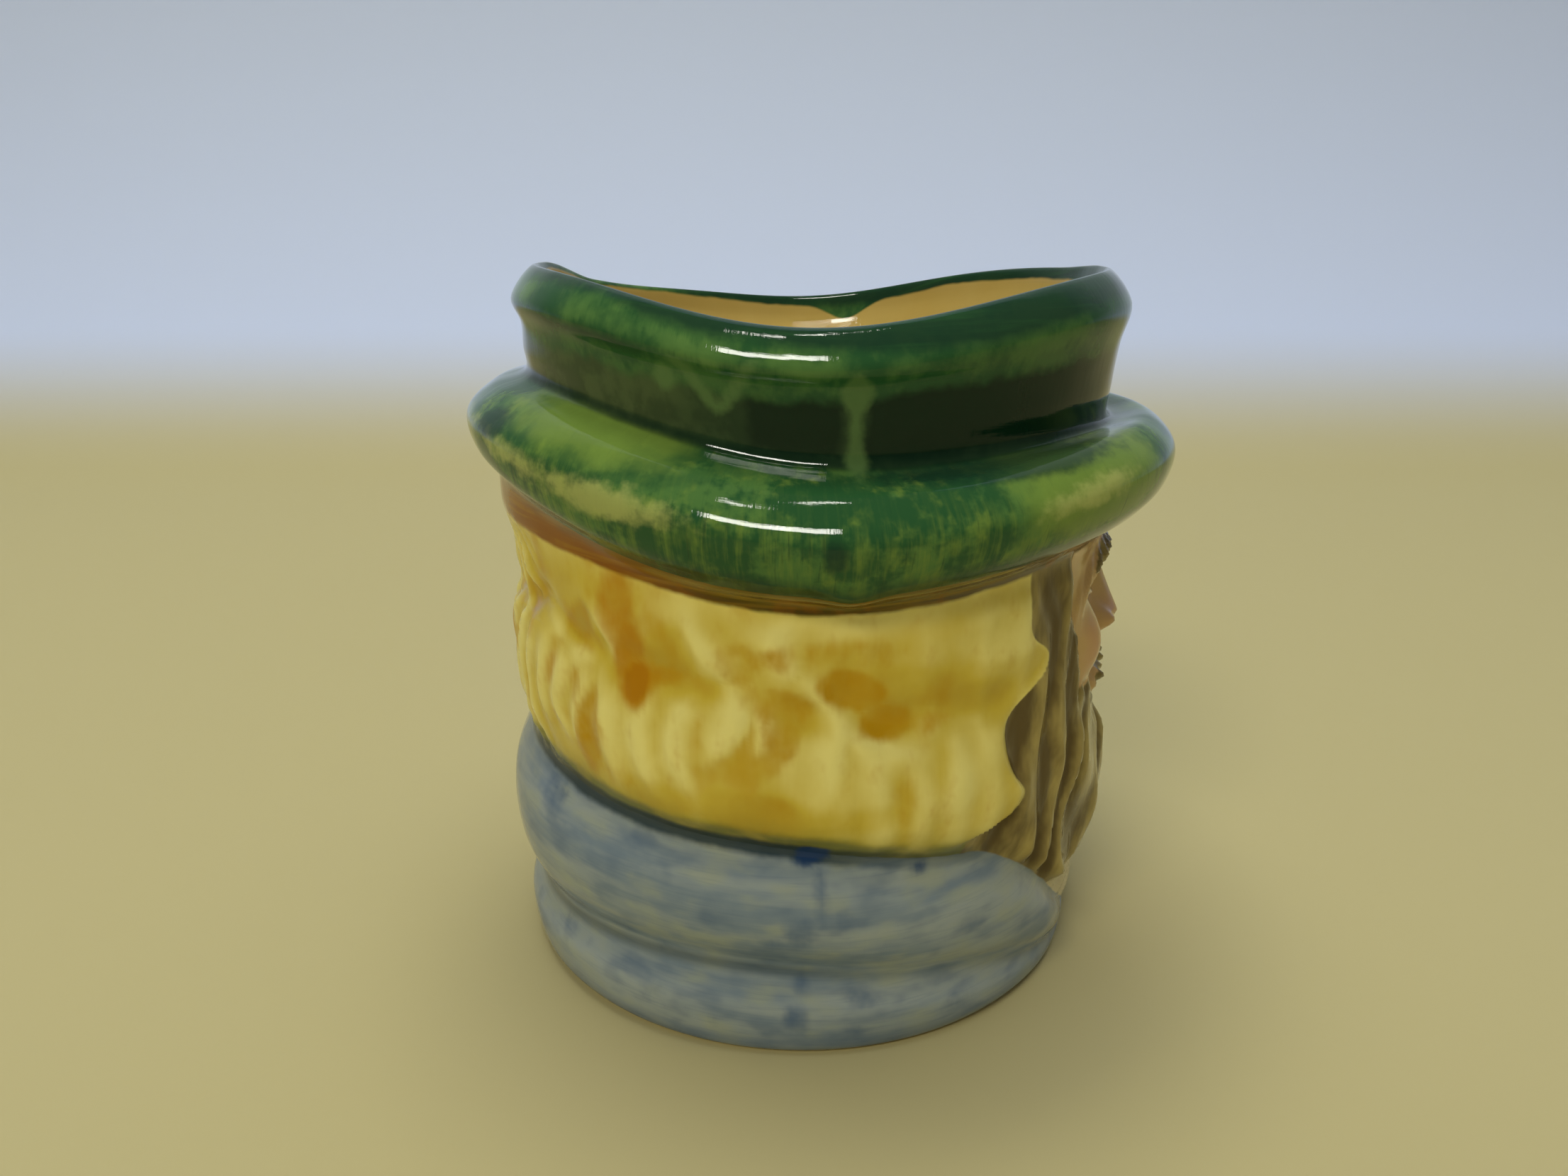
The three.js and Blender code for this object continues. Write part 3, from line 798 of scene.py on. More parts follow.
def handle_paint(places):
    """Positive where the handle's green covers the coat below it, in millimetres from its edge."""
    path, inward, flare, _ = handle_line()
    x, y, z = places[:, 0] - AXIS_X, places[:, 1] - AXIS_Y, places[:, 2]
    away = np.hypot(x[:, None] - path[:, 0], z[:, None] - path[:, 1])
    near = np.argmin(away, axis=1)
    depth = (x - path[near, 0]) * inward[near, 0] + (z - path[near, 1]) * inward[near, 1]
    depth = depth / (HANDLE_DEPTH / 2 * flare[near])
    across = y / (HANDLE_WIDTH / 2 * flare[near])
    return (1.14 - np.hypot(depth, across)) * HANDLE_WIDTH / 2


def make_handle(body_fields):
    handle = straight_tube("jug_handle", HANDLE_SIDES, HANDLE_ROWS)
    row, column = tube_cells(handle, HANDLE_SIDES)
    path, inward, flare, share = handle_line()
    around = column / HANDLE_SIDES * 2 * np.pi
    across = np.cos(around) * HANDLE_WIDTH / 2 * flare[row]
    depth = np.sin(around) * HANDLE_DEPTH / 2 * flare[row]
    x = path[row, 0] + inward[row, 0] * depth
    z = path[row, 1] + inward[row, 1] * depth
    where = np.stack([x + AXIS_X, across + AXIS_Y, z], axis=-1)
    set_places(handle, where)
    select_only(handle)
    with edit_mode("SELECT"):
        bpy.ops.mesh.region_to_loop()
        bpy.ops.mesh.edge_face_add()
    close_and_face_out(handle)

    length = share[row] * HANDLE_LENGTH
    fields = {name: np.full((len(length), 3), OUT_OF_REACH) for name in body_fields}
    fields["hat_bands"][:, 0] = 9.0
    fields["carving"][:] = 0
    fields["coat_bands"][:] = (-20, 20, 40)
    fields["stroke"] = np.stack([across * 1.2, depth * 1.2, length], axis=-1)
    beside = np.full_like(length, 90.0)
    fields["place"] = np.stack([beside, 40 + length * 0.1, beside], axis=-1)
    return handle, where, fields


def join_handle(body, handle):
    """The handle's ends go into the wall, and the two become one shell."""
    select_only(body)
    bpy.ops.object.modifier_add(type="BOOLEAN")
    join = body.modifiers[-1]
    join.operation = "UNION"
    join.solver = "EXACT"
    join.object = handle
    bpy.ops.object.modifier_apply(modifier=join.name)
    bpy.data.objects.remove(handle, do_unlink=True)


def tree_of(places):
    tree = KDTree(len(places))
    for i, place in enumerate(places):
        tree.insert(place, i)
    tree.balance()
    return tree


def lay_fields(jug, places, fields):
    """Each point of the joined jug takes the fields of the clay it came from.

    Gives back the points that came from neither piece, which are those of the join.
    """
    tree = tree_of(places * MM)
    found = [tree.find(place) for place in points_of(jug)]
    nearest = np.array([hit[1] for hit in found])
    for name, values in fields.items():
        field = jug.data.attributes.new(name, "FLOAT_VECTOR", "POINT")
        field.data.foreach_set("vector", values[nearest].astype(np.float32).ravel())
    return points_of(jug)[np.array([hit[2] for hit in found]) > 1e-6]


def smooth_join(jug, seam):
    select_only(jug)
    tree = tree_of(seam)
    near = [tree.find(place)[2] < FILLET * MM for place in points_of(jug)]
    choose(jug.data.vertices, near)
    with edit_mode():
        bpy.ops.mesh.vertices_smooth(factor=0.5, repeat=14)


# ---- Glaze colours, as light linear values ----

CREAM = (0.62, 0.47, 0.16, 1)
CREAM_DEEP = (0.50, 0.34, 0.08, 1)
BLOND = (0.72, 0.56, 0.07, 1)
BLOND_PALE = (0.98, 0.89, 0.33, 1)
BLOND_DEEP = (0.54, 0.35, 0.025, 1)
OLIVE_PAINTED_SHADE = (0.30, 0.27, 0.05, 1)
OCHRE = (0.60, 0.34, 0.006, 1)
ORANGE = (0.58, 0.275, 0.004, 1)
ORANGE_DEEP = (0.50, 0.19, 0.002, 1)
COAT = (0.22, 0.29, 0.39, 1)
COAT_PALE = (0.36, 0.42, 0.46, 1)
COAT_LIGHT = (0.42, 0.46, 0.36, 1)
COBALT = (0.07, 0.13, 0.27, 1)
INK_BLUE = (0.012, 0.045, 0.17, 1)
NAVY = (0.010, 0.032, 0.055, 1)
MOSS = (0.15, 0.17, 0.03, 1)
EMERALD = (0.024, 0.098, 0.034, 1)
GREEN = (0.080, 0.19, 0.052, 1)
LEAF = (0.20, 0.31, 0.055, 1)
GRASS = (0.14, 0.28, 0.075, 1)
RUN_GREEN = (0.11, 0.21, 0.07, 1)
PALE_LEAF = (0.48, 0.52, 0.17, 1)
TEAL_DARK = (0.012, 0.045, 0.026, 1)
BAND_DARK = (0.001, 0.020, 0.009, 1)
BAND_SOFT = (0.030, 0.068, 0.028, 1)
BAND_OLIVE = (0.072, 0.115, 0.045, 1)
RUST = (0.29, 0.10, 0.001, 1)
BRONZE = (0.092, 0.061, 0.003, 1)
TAN = (0.13, 0.105, 0.058, 1)
SKIN = (0.66, 0.44, 0.21, 1)
BLUSH = (0.62, 0.25, 0.12, 1)
BROWN_DARK = (0.13, 0.090, 0.032, 1)
BROWN_LIGHT = (0.50, 0.40, 0.14, 1)
EYE_WHITE = (0.80, 0.78, 0.70, 1)
LID = (0.36, 0.25, 0.28, 1)
IRIS = (0.055, 0.025, 0.012, 1)
LIPS = (0.42, 0.15, 0.08, 1)
LINEN = (0.76, 0.69, 0.48, 1)
BARE_CLAY = (0.72, 0.63, 0.46, 1)

BRUSHWORK = {  # marks per millimetre round the jug and along its profile, seed, detail, roughness
    "cloudy": (0.16, 0.16, 1),
    "patchy": (0.34, 0.34, 2),
    "upright": (1.9, 0.16, 3, 4, 0.65),
    "fine_upright": (3.6, 0.3, 4, 2),
    "level": (0.09, 1.5, 5, 4, 0.6),
    "fine_level": (0.2, 3.4, 6, 2),
    "hair_softness": (0.12, 0.12, 34, 1),
    "hair_tone": (0.45, 0.3, 31, 2),
    "hair_unevenness": (0.6, 0.4, 37, 2),
    "hair_pools": (0.2, 0.1, 38, 1),
    "hair_warmth": (0.24, 0.17, 46, 2),
    "ochre_thickness": (0.5, 0.4, 41, 1),
    "beard_strands": (0.45, 0.16, 43, 3),
    "coat_washes": (0.05, 0.32, 33, 2, 0.6),
    "coat_blotches": (0.2, 0.4, 40, 2, 0.5),
    "coat_unevenness": (0.5, 0.6, 39, 2),
    "hat_speckle": (1.1, 0.9, 36, 3, 0.6),
    "hat_flecks": (0.7, 0.45, 45, 3, 0.55),
    "glaze_swell": (0.12, 0.12, 21, 1),
    "clay_grain": (1.4, 1.4, 30, 5),
}


def set_inputs(node, values):
    for name, value in values.items():
        node.inputs[name].default_value = value


class Amount:
    """A number that varies over the clay, as a socket in one glaze's nodes."""

    def __init__(self, glaze, socket):
        self.glaze = glaze
        self.socket = socket

    def __add__(self, other):
        return self.glaze.work_out("ADD", self, other)

    def __sub__(self, number):
        return self.glaze.work_out("ADD", self, -number)

    def __mul__(self, other):
        return self.glaze.work_out("MULTIPLY", self, other)

    def __abs__(self):
        return self.glaze.work_out("ABSOLUTE", self)

    def larger(self, other):
        return self.glaze.work_out("MAXIMUM", self, other)

    def ease(self, low, high):
        """0 at low and 1 at high, or the other way round when low is the greater."""
        step = self.glaze.nodes.new("ShaderNodeMapRange")
        step.interpolation_type = "SMOOTHSTEP"
        start, end = (0, 1) if low < high else (1, 0)
        set_inputs(step, {"From Min": min(low, high), "From Max": max(low, high)})
        set_inputs(step, {"To Min": start, "To Max": end})
        self.glaze.put(step.inputs[0], self)
        return Amount(self.glaze, step.outputs[0])

    def wobble(self, amount, across, seed, along=None):
        """The same with a brushed, uneven edge, in millimetres."""
        unevenness = self.glaze.noise(across, across if along is None else along, seed)
        return self + (unevenness - 0.5) * (2 * amount)


class Glaze:
    """The nodes of one glaze, which read the fields that were laid on the clay."""

    def __init__(self, name):
        self.material = bpy.data.materials.new(name)
        self.material.use_nodes = True
        self.nodes = self.material.node_tree.nodes
        self.shader = self.nodes["Principled BSDF"]
        self.laid_out = {}

    def put(self, socket, value):
        if isinstance(value, Amount):
            value = value.socket
        if isinstance(value, bpy.types.NodeSocket):
            self.material.node_tree.links.new(value, socket)
        else:
            socket.default_value = value

    def work_out(self, operation, a, b=0.0):
        step = self.nodes.new("ShaderNodeMath")
        step.operation = operation
        self.put(step.inputs[0], a)
        self.put(step.inputs[1], b)
        return Amount(self, step.outputs[0])

    def field(self, name):
        """The three numbers that the clay carries under this name."""
        if name not in self.laid_out:
            source = self.nodes.new("ShaderNodeAttribute")
            source.attribute_name = name
            parts = self.nodes.new("ShaderNodeSeparateXYZ")
            self.put(parts.inputs[0], source.outputs["Vector"])
            self.laid_out[name] = [Amount(self, part) for part in parts.outputs]
        return self.laid_out[name]

    def noise(self, across, along, seed, detail=3.0, roughness=0.55):
        source = self.nodes.new("ShaderNodeAttribute")
        source.attribute_name = "stroke"
        place = self.nodes.new("ShaderNodeMapping")
        self.put(place.inputs["Vector"], source.outputs["Vector"])
        far = (seed * 7.3, seed * 3.1, seed * 5.7)  # each seed has its own part of the noise
        set_inputs(place, {"Location": far, "Scale": (across, across, along)})
        texture = self.nodes.new("ShaderNodeTexNoise")
        set_inputs(texture, {"Scale": 1.0, "Detail": detail, "Roughness": roughness})
        self.put(texture.inputs["Vector"], place.outputs["Vector"])
        return Amount(self, texture.outputs["Fac"])

    def marks(self, name):
        """One of the kinds of brushwork, the same wherever it is asked for."""
        if name not in self.laid_out:
            self.laid_out[name] = self.noise(*BRUSHWORK[name])
        return self.laid_out[name]

    def washed(self, ground, *washes):
        """The ground colour under washes of (share, colour), each laid over those before it."""
        for share, colour in washes:
            mix = self.nodes.new("ShaderNodeMix")
            mix.data_type = "RGBA"
            self.put(mix.inputs["Factor"], share)
            self.put(mix.inputs[6], ground)
            self.put(mix.inputs[7], colour)
            ground = mix.outputs[2]
        return ground

    def bumpy(self, height, strength, distance):
        """The surface's direction with a low relief worked into it."""
        relief = self.nodes.new("ShaderNodeBump")
        set_inputs(relief, {"Strength": strength, "Distance": distance * MM})
        self.put(relief.inputs["Height"], height)
        return relief.outputs["Normal"]


def hair_colour(glaze):
    """Blond locks: pale on the ridges, ochre where the glaze lies deep, a few runs of orange."""
    collar = glaze.field("coat_bands")[0]
    from_front = glaze.field("place")[2]
    drip, spot, _ = glaze.field("spots")
    tone = glaze.field("tone")[0] + (glaze.marks("hair_tone") - 0.5) * 0.9
    depth = glaze.field("carving")[0] + (glaze.marks("hair_softness") - 0.5) * 0.9 + tone * 0.55
    depth = depth + from_front.ease(95, 70) * -0.25
    pooled = depth.ease(0.45, 1.0) * glaze.marks("hair_pools").ease(0.4, 0.62)
    warm = glaze.marks("hair_warmth").ease(0.5, 0.68) * depth.ease(-0.35, 0.3)
    warm = warm * collar.ease(3.5, 8.0) * from_front.ease(84, 94)
    uneven = (glaze.marks("hair_unevenness") - 0.5) * 1.3
    thick = glaze.marks("ochre_thickness") * 0.9 + 0.45
    halo = collar.wobble(0.7, 0.25, 42).ease(2.8, 1.3) * glaze.marks("cloudy").ease(0.25, 0.5)
    return glaze.washed(
        BLOND,
        (depth.ease(0.6, -0.8), BLOND_PALE),
        (depth.ease(0.35, 1.1) * 0.6, BLOND_DEEP),
        (pooled * collar.ease(2.5, 7.5) * 0.65, OCHRE),
        (warm * 0.55, OCHRE),
        ((spot + uneven).ease(0.0, 1.1) * thick, OCHRE),
        ((drip + uneven * 0.5).ease(0.0, 1.1) * 0.95, ORANGE),
        (drip.ease(0.9, 1.25) * 0.5, ORANGE_DEEP),
        # painted shade along the hair's lower edge, where it tucks in above the collar
        (collar.wobble(0.9, 0.3, 35).ease(4.4, 0.5) * 0.62, OLIVE_PAINTED_SHADE),
        (halo * 0.8, MOSS),
    )


def face_colour(glaze):
    """Warm skin, brown beard and brows, and the linen at the neck."""
    _, height, from_front = glaze.field("place")
    opening, iris, eye_across = glaze.field("eyes")
    beard, brow, tache = glaze.field("face_paint")
    bend = from_front * from_front
    cheek = abs(height - 34.5).ease(5.0, 1.0) * abs(from_front - 24).ease(9.0, 1.0)
    mouth = abs(height - 27.4) + bend * 0.016
    # on the nose tip and just below it: partly a painted blush, partly painted shade under the nose
    nose = abs(height - 33.4).ease(3.0, 0.6) * from_front.ease(8.5, 3.5)
    lids = opening.ease(-2.2, -0.4) * abs(eye_across).ease(5.2, 3.4)
    in_eye = opening.ease(-0.12, 0.1)
    lash = abs(opening).ease(0.26, 0.08) * abs(eye_across).ease(3.9, 3.6)
    strands = glaze.field("carving")[1] * -0.4 + glaze.marks("beard_strands")
    brown = glaze.washed(BROWN_DARK, (strands.ease(0.25, 0.85), BROWN_LIGHT))
    whiskers = beard.larger(brow.larger(tache)).wobble(0.5, 1.6, 9, 0.5)
    linen = glaze.washed(LINEN, (glaze.marks("level") * 0.5, CREAM))
    neck = height.wobble(0.25, 0.5, 10) + bend * -0.0006
    return glaze.washed(
        SKIN,
        (glaze.marks("cloudy").ease(0.4, 0.7) * 0.25, BLOND),
        (cheek * 0.45, BLUSH),
        (mouth.ease(1.15, 0.7) * 0.85, LIPS),
        (nose * 0.4, BLUSH),
        (lids * 0.55, LID),
        (in_eye, EYE_WHITE),
        (in_eye * iris.ease(-0.08, 0.08), IRIS),
        (lash, BROWN_DARK),
        (whiskers.ease(-0.15, 0.2), brown),
        (neck.ease(9.5, 9.1), linen),
    )


def strip_colour(glaze):
    """The strip under the brim: rust at the back, bronze by the ear, tan to the face, painted shade
    under the brim.
    """
    brim = glaze.field("hat_bands")[0]
    from_front = glaze.field("place")[2]
    rusty = glaze.marks("patchy") + glaze.marks("cloudy") * 0.5
    return glaze.washed(
        BRONZE,
        (from_front.ease(96, 124), RUST),
        (from_front.ease(84, 52), TAN),
        (glaze.marks("level").ease(0.4, 0.65) * 0.25, OCHRE),
        (rusty.ease(0.78, 0.95) * 0.5, RUST),
        # darker brown just under the brim's edge: painted shade
        (brim.wobble(0.6, 0.4, 32).ease(-1.8, 0.0) * 0.5, BROWN_DARK),
    )


def coat_colour(glaze, uneven):
    """Thin blue laid on in level strokes, cobalt blots, and painted shade in the fold and at the
    foot.
    """
    fold = glaze.field("coat_bands")[1]
    base = glaze.field("rim_bands")[2]
    from_front = glaze.field("place")[2]
    blot = glaze.field("spots")[2]
    blotches = glaze.marks("coat_blotches")
    # a dark line of painted shade in the crease between the coat's two rolls
    painted_fold_shade = abs(fold + 0.1).ease(1.0, 0.1) * from_front.ease(55, 100)
    return glaze.washed(
        COAT,
        (glaze.marks("coat_washes").ease(0.36, 0.62), COAT_PALE),
        (glaze.marks("level").ease(0.4, 0.72) * 0.3, COAT_PALE),
        (blotches.ease(0.48, 0.74) * 0.5, COAT_LIGHT),
        (blotches.ease(0.52, 0.26) * 0.42, COBALT),
        (glaze.marks("fine_level").ease(0.5, 0.3) * 0.12, COBALT),
        (from_front.ease(128, 160) * 0.22, COBALT),
        ((blot + uneven).ease(0.0, 1.3) * 0.85, COBALT),
        (painted_fold_shade * 0.5, NAVY),
        # painted contact shadow, laid in cobalt along the bottom of the coat by the foot
        (base.wobble(0.3, 0.3, 47).ease(2.2, 0.4) * 0.3, COBALT),
    )


def coat_over(glaze, head):
    """The coat below the head, the ink line along its collar and the blots that cross it."""
    collar = glaze.field("coat_bands")[0]
    from_front = glaze.field("place")[2]
    uneven = glaze.marks("coat_unevenness") - 0.5
    edge = collar.wobble(0.3, 0.3, 14)
    line = abs(edge - 0.05).wobble(0.35, 0.22, 44).ease(1.25, 0.45)
    line = line * (from_front.ease(66, 92) * 0.55 + from_front.ease(50, 60) * 0.35)
    inked = (glaze.field("spots")[2] + uneven).ease(0.4, 1.3) * collar.ease(-2.6, -1.2)
    return glaze.washed(
        head,
        (edge.ease(0.35, 0.05), coat_colour(glaze, uneven)),
        (line, NAVY),
        (inked * edge.ease(1.1, 0.7) * 0.85, INK_BLUE),
    )


def mottled(glaze):
    mixed = glaze.marks("patchy") * 0.5 + glaze.marks("hat_speckle") * 0.45
    return glaze.marks("cloudy") + mixed


def brim_colour(glaze):
    """Emerald washed over leaf green, bristle-dragged on the edge; painted shade low on it and by the
    band.
    """
    brim = glaze.field("hat_bands")[0]
    wash, pale, dark = glaze.field("hat_washes")
    patchy = glaze.marks("patchy")
    flecks = glaze.marks("hat_flecks").ease(0.5, 0.7) * patchy.ease(0.4, 0.6)
    wash_rim = abs(wash.wobble(0.7, 0.4, 22) + 0.5).ease(0.5, 0.1)
    on_edge = brim.ease(8.5, 5.5)
    dragged = glaze.marks("upright") * 0.7 + patchy * 0.6
    pale = pale.wobble(1.0, 0.5, 23, 0.6) + (glaze.marks("hat_speckle") - 0.5) * 1.2
    return glaze.washed(
        EMERALD,
        (mottled(glaze).ease(0.88, 1.1), GREEN),
        (flecks * 0.55, LEAF),
        (wash.wobble(1.2, 0.3, 22).ease(-0.6, 1.6) * 0.8, LEAF),
        (wash_rim * 0.5, EMERALD),
        (dragged.ease(0.58, 0.86) * (on_edge * 0.4 + 0.12), LEAF),
        (glaze.marks("fine_upright").ease(0.42, 0.2) * (on_edge * 0.4 + 0.1), TEAL_DARK),
        (pale.ease(-0.45, 1.0) * 0.75, PALE_LEAF),
        # painted shade along the lower, downward-facing side of the brim's edge
        (brim.wobble(0.9, 1.0, 15, 0.3).ease(3.0, 0.3) * 0.75, TEAL_DARK),
        # dark blots, and painted shade on the brim just under the band
        (dark.wobble(0.5, 0.8, 24).ease(-0.3, 0.5) * 0.8, TEAL_DARK),
    )


def band_over(glaze, brim):
    """The band above the brim: dark panels on soft green, which turns olive to the back, and painted
    shade in its crease.
    """
    crease = glaze.field("hat_bands")[1]
    panel = glaze.field("band_marks")[0]
    toward_back = glaze.field("place")[2] + glaze.marks("cloudy") * 30
    band = glaze.washed(
        BAND_SOFT,
        (toward_back.ease(112, 138), BAND_OLIVE),
        (glaze.marks("patchy").ease(0.62, 0.4) * 0.4, BAND_DARK),
        (panel.wobble(0.6, 0.5, 37).ease(-0.5, 0.6) * 0.97, BAND_DARK),
    )
    return glaze.washed(
        brim,
        (crease.wobble(0.5, 0.3, 16).ease(-0.6, 0.2), band),
        # a dark line of painted shade in the crease where the band meets the brim
        (abs(crease - 0.1).ease(0.9, 0.2) * 0.6, BAND_DARK),
    )


def lip_over(glaze, band):
    """The lip above the band: a lighter streak, darker green over it, and the pale run."""
    lip = glaze.field("hat_bands")[2]
    _, run, streak = glaze.field("band_marks")
    green = glaze.washed(EMERALD, (mottled(glaze).ease(0.84, 1.1) * 0.6, GREEN))
    dragged = streak.wobble(0.9, 0.3, 26, 0.3) + (glaze.marks("upright") - 0.5) * 1.8
    light = dragged.ease(-0.4, 0.7) * glaze.marks("cloudy").ease(0.34, 0.7)
    light = light * (glaze.field("place")[2].ease(78, 98) * 0.35 + 0.33)
    above = streak.wobble(0.5, 0.5, 18).ease(0.1, -1.1) * lip.ease(0.2, 1.6)
    dark = glaze.washed(TEAL_DARK, (glaze.marks("level").ease(0.45, 0.75) * 0.5, EMERALD))
    return glaze.washed(
        band,
        (lip.wobble(1.0, 0.3, 17).ease(-1.8, -0.4), green),
        (light, GRASS),
        (above * 0.9, dark),
        (run.wobble(0.35, 0.9, 25).ease(-0.45, 0.45) * 0.8, RUN_GREEN),
    )


def painted_glaze(name, gloss):
    glaze = Glaze(name)
    brim = glaze.field("hat_bands")[0]
    rim, hat_line, _ = glaze.field("rim_bands")
    out_of_face = glaze.field("coat_bands")[2]
    head = glaze.washed(
        face_colour(glaze),
        (out_of_face.wobble(0.25, 0.4, 11).ease(-0.2, 0.15), hair_colour(glaze)),
        (hat_line.wobble(0.35, 0.3, 12).ease(-0.35, 0.25), strip_colour(glaze)),
    )
    hat = lip_over(glaze, band_over(glaze, brim_colour(glaze)))
    inside = glaze.washed(CREAM, (glaze.marks("cloudy") * 0.7, CREAM_DEEP))
    colour = glaze.washed(
        coat_over(glaze, head),
        (brim.wobble(0.12, 0.6, 19).ease(-0.08, 0.08), hat),
        (rim.wobble(0.5, 0.12, 20).ease(1.5, 1.9), inside),
    )
    brushed = glaze.marks("upright") * 0.02 + glaze.marks("level") * 0.02
    normal = glaze.bumpy(glaze.marks("glaze_swell") * 0.5 + brushed, 0.6, 1.0)
    shader = glaze.shader
    glaze.put(shader.inputs["Base Color"], colour)
    glaze.put(shader.inputs["Roughness"], glaze.marks("patchy") * 0.14 + 0.24)
    glaze.put(shader.inputs["Normal"], normal)
    glaze.put(shader.inputs["Coat Normal"], normal)
    set_inputs(shader, {"IOR": 1.5, "Specular IOR Level": 0.0})
    set_inputs(shader, {"Coat Weight": gloss, "Coat Roughness": 0.02, "Coat IOR": 1.32})
    return glaze.material


def bare_clay():
    clay = Glaze("bare_clay_foot")
    grain = clay.marks("clay_grain")
    clay.put(clay.shader.inputs["Base Color"], clay.washed(BARE_CLAY, (grain * 0.6, CREAM)))
    clay.put(clay.shader.inputs["Roughness"], grain * 0.2 + 0.65)
    clay.put(clay.shader.inputs["Normal"], clay.bumpy(grain, 0.4, 0.1))
    return clay.material


INSIDE, BARE = 1, 2  # places of the two rarer materials on the jug


def finish_jug(jug):
    select_only(jug)
    bpy.ops.object.shade_smooth()
    jug.data.materials.clear()
    jug.data.materials.append(painted_glaze("painted_glaze", 1.0))
    jug.data.materials.append(painted_glaze("inside_glaze", 0.2))
    jug.data.materials.append(bare_clay())
    rim_bands = jug.data.attributes["rim_bands"].data
    for face in jug.data.polygons:
        if face.center.z < 0.3 * MM and face.normal.z < -0.5:
            face.material_index = BARE
        elif min(rim_bands[v].vector[0] for v in face.vertices) > INSIDE_EDGE:
            face.material_index = INSIDE
    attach(jug, "root")
    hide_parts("jug")


# ---- The table, the lights and the camera ----

TABLE_CREAM = (0.52, 0.465, 0.255, 1)
BACKDROP_BLUE = (0.60, 0.69, 0.98, 1)
WARM_LIGHT = (1.0, 0.93, 0.66)
COOL_LIGHT = (0.82, 0.91, 1.0)
WINDOW_LIGHT = (1.0, 0.98, 0.9)
SWEEP_STEPS = 12
SWEEP_STEP = 0.03  # metres


def pale_cloth():
    """Cream on the table, and a cool blue where the cloth rises behind the jug."""
    cloth = bpy.data.materials.new("pale_cloth")
    cloth.use_nodes = True
    nodes, links = cloth.node_tree.nodes, cloth.node_tree.links
    shader = nodes["Principled BSDF"]
    set_inputs(shader, {"Roughness": 0.85, "Specular IOR Level": 0.15})
    place = nodes.new("ShaderNodeTexCoord")
    parts = nodes.new("ShaderNodeSeparateXYZ")
    rise = nodes.new("ShaderNodeMapRange")
    rise.interpolation_type = "SMOOTHSTEP"
    set_inputs(rise, {"From Min": 0.001, "From Max": 0.04})
    mix = nodes.new("ShaderNodeMix")
    mix.data_type = "RGBA"
    mix.inputs[6].default_value = TABLE_CREAM
    mix.inputs[7].default_value = BACKDROP_BLUE
    links.new(place.outputs["Object"], parts.inputs[0])
    links.new(parts.outputs["Z"], rise.inputs["Value"])
    links.new(rise.outputs[0], mix.inputs["Factor"])
    links.new(mix.outputs[2], shader.inputs["Base Color"])
    return cloth


def make_floor():
    """A pale cloth on the table, which sweeps up behind the jug."""
    clear_selection()
    bpy.ops.mesh.primitive_plane_add(size=1, location=(-0.8, 0, 0))
    floor = bpy.context.object
    floor.name = "floor"
    floor.scale = (2.0, 4.0, 1)
    bpy.ops.object.transform_apply(location=True, scale=True)
    points = floor.data.vertices
    far_edge = [all(points[v].co.x > 0 for v in edge.vertices) for edge in floor.data.edges]
    choose(floor.data.edges, far_edge)
    with edit_mode():
        for step in range(SWEEP_STEPS):
            lean = math.radians(90 * (step + 0.5) / SWEEP_STEPS)
            move = (SWEEP_STEP * math.cos(lean), 0, SWEEP_STEP * math.sin(lean))
            bpy.ops.mesh.extrude_region_move(TRANSFORM_OT_translate={"value": move})
        bpy.ops.mesh.extrude_region_move(TRANSFORM_OT_translate={"value": (0, 0, 1.6)})
    bpy.ops.object.shade_smooth()
    floor.data.materials.append(pale_cloth())


def add_lamp(name, place, target, size, power, colour, shine=False):
    """A soft lamp that lights the clay, or a small bright one that only shines in the glaze."""
    clear_selection()
    bpy.ops.object.light_add(type="AREA", location=place)
    lamp = bpy.context.object
    lamp.name = name
    lamp.data.shape = "RECTANGLE"
    lamp.data.size, lamp.data.size_y = size
    lamp.data.energy = power
    lamp.data.color = colour
    lamp.visible_diffuse = not shine
    lamp.visible_glossy = shine
    lamp.rotation_euler = (Vector(target) - Vector(place)).to_track_quat("-Z", "Y").to_euler()


SHINE_POWER = 42  # for each square metre of lamp, before the turn of a circle
SHINES = (  # direction round and above the jug in degrees, and width and height in degrees
    ("window_left", 157, 50, 15, 9), ("window_right", 177, 51, 12, 9),
    ("tube_over_left", 140, 78, 4, 2), ("tube_over_right", -140, 87, 6, 2),
)  # fmt: skip


def light_the_room():
    """A faint warm light from all round, and a pale wall past the edge of the table."""
    world = bpy.data.worlds.new("room")
    bpy.context.scene.world = world
    world.use_nodes = True
    nodes, links = world.node_tree.nodes, world.node_tree.links
    around = nodes["Background"]
    set_inputs(around, {"Color": (1.0, 0.97, 0.85, 1), "Strength": 0.14})
    far_wall = nodes.new("ShaderNodeBackground")
    set_inputs(far_wall, {"Color": (0.40, 0.45, 0.52, 1)})
    path, mix = nodes.new("ShaderNodeLightPath"), nodes.new("ShaderNodeMixShader")
    links.new(path.outputs["Is Camera Ray"], mix.inputs[0])
    links.new(around.outputs[0], mix.inputs[1])
    links.new(far_wall.outputs[0], mix.inputs[2])
    links.new(mix.outputs[0], nodes["World Output"].inputs["Surface"])
    bpy.context.scene.view_settings.view_transform = "Standard"


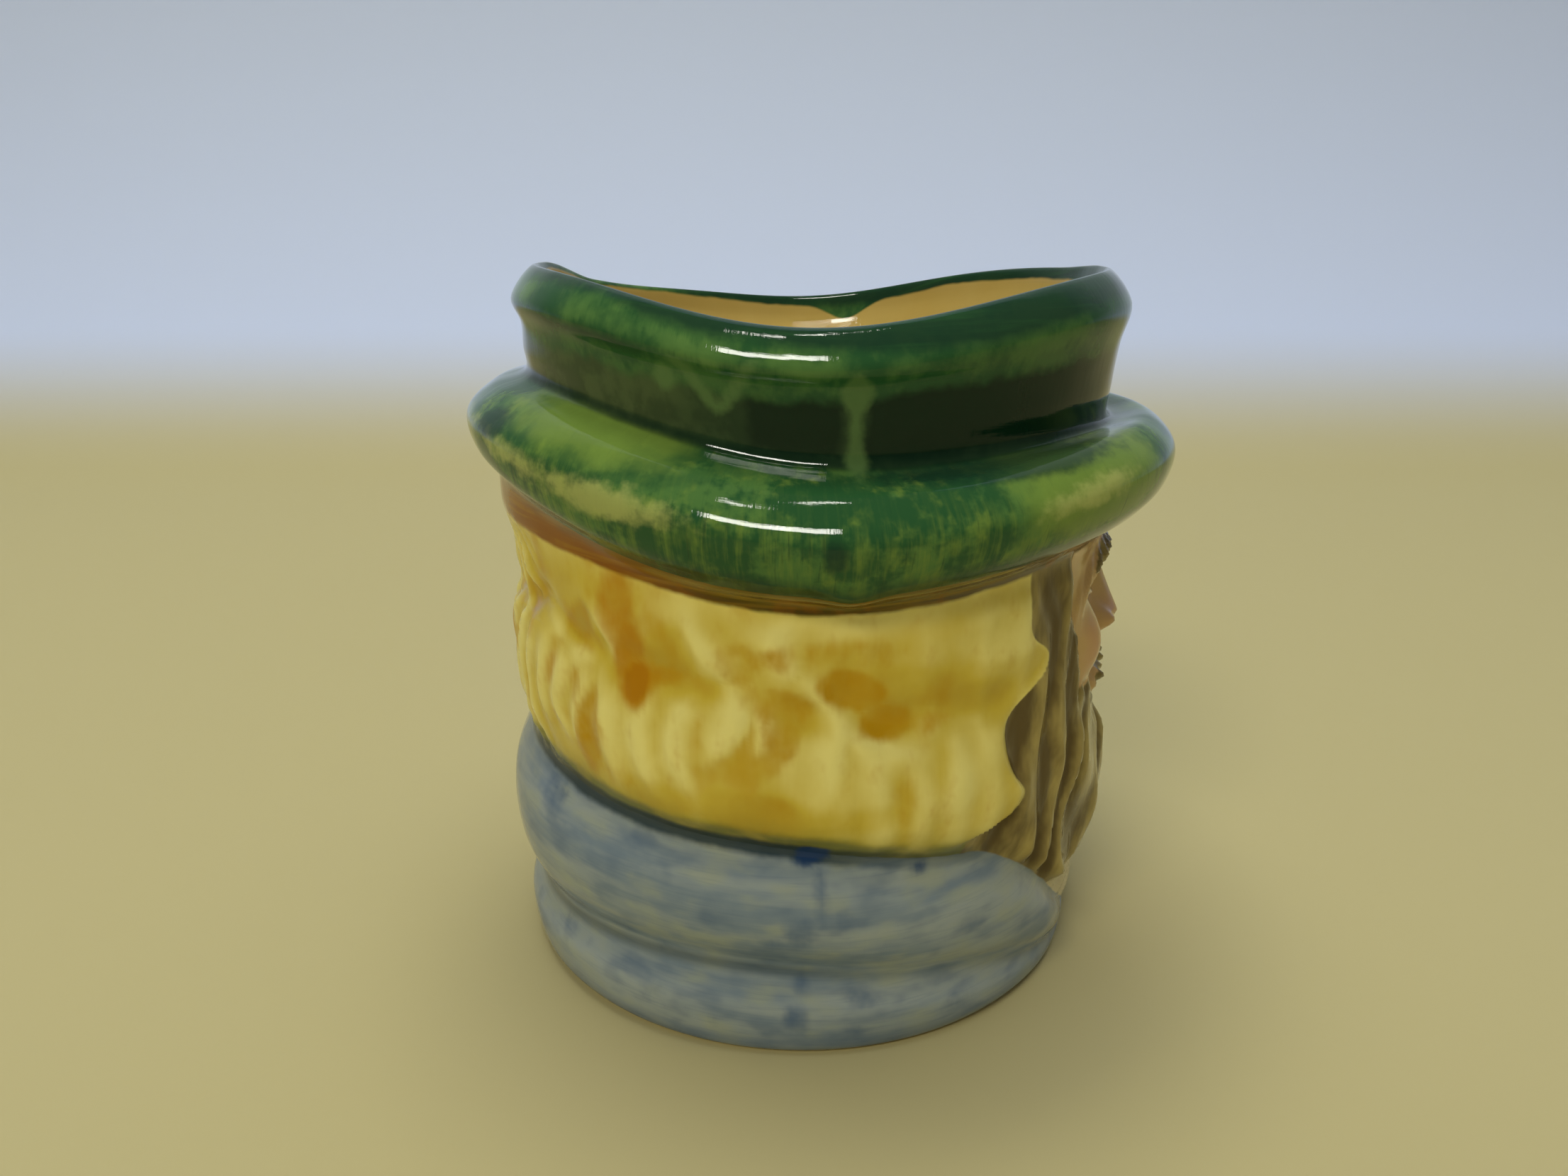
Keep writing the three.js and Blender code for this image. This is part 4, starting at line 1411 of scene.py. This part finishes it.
def light_the_jug():
    jug = Vector((AXIS_X * MM, AXIS_Y * MM, 0.05))
    add_lamp("soft_front", (-0.76, 0.30, 0.76), jug, (0.4, 0.2), 3.75, WARM_LIGHT)
    add_lamp("soft_over", (0.16, 0.12, 1.0), jug, (0.6, 0.3), 2.8, WARM_LIGHT)
    add_lamp("soft_side", (0.1, -0.5, 1.3), jug, (0.9, 0.9), 1.5, WARM_LIGHT)
    add_lamp("backdrop_glow", (0.0, 0.0, 1.4), (0.45, 0, 0.35), (0.8, 0.8), 4.5, COOL_LIGHT)
    for name, around, above, width, tall in SHINES:
        around, above = math.radians(around), math.radians(above)
        away = Vector((math.cos(around), math.sin(around), math.tan(above))).normalized()
        size = (math.radians(width), math.radians(tall))
        power = SHINE_POWER * math.pi * size[0] * size[1]
        add_lamp(name, jug + away, jug, size, power, WINDOW_LIGHT, shine=True)


CAMERA_LENS = 26.85
CAMERA_TILT = 16.93  # degrees below level
CAMERA_PLACE = (-120.59, 1.4, 72.77)  # from the middle of the foot


def place_camera():
    clear_selection()
    bpy.ops.object.camera_add()
    camera = bpy.context.object
    camera.name = "camera"
    camera.data.lens = CAMERA_LENS
    camera.data.sensor_width = 36
    camera.data.clip_start = 0.005
    x, y, z = CAMERA_PLACE
    camera.location = ((AXIS_X + x) * MM, (AXIS_Y + y) * MM, z * MM)
    tilt = math.radians(CAMERA_TILT)
    looking = Vector((math.cos(tilt), 0, -math.sin(tilt)))
    camera.rotation_euler = looking.to_track_quat("-Z", "Y").to_euler()
    bpy.context.scene.camera = camera


def make_jug():
    jug, body_places, body_fields = make_body()
    handle, handle_places, handle_fields = make_handle(body_fields)
    join_handle(jug, handle)
    x, z = body_places[:, 0] - AXIS_X, body_places[:, 2]
    low_join = (x > 24) & (z > 5) & (z < 22)
    body_fields["hat_bands"][low_join, 0] = handle_paint(body_places[low_join])
    places = np.concatenate([body_places, handle_places])
    fields = {n: np.concatenate([body_fields[n], handle_fields[n]]) for n in body_fields}
    smooth_join(jug, lay_fields(jug, places, fields))
    finish_jug(jug)


make_jug()
make_floor()
light_the_room()
light_the_jug()
place_camera()
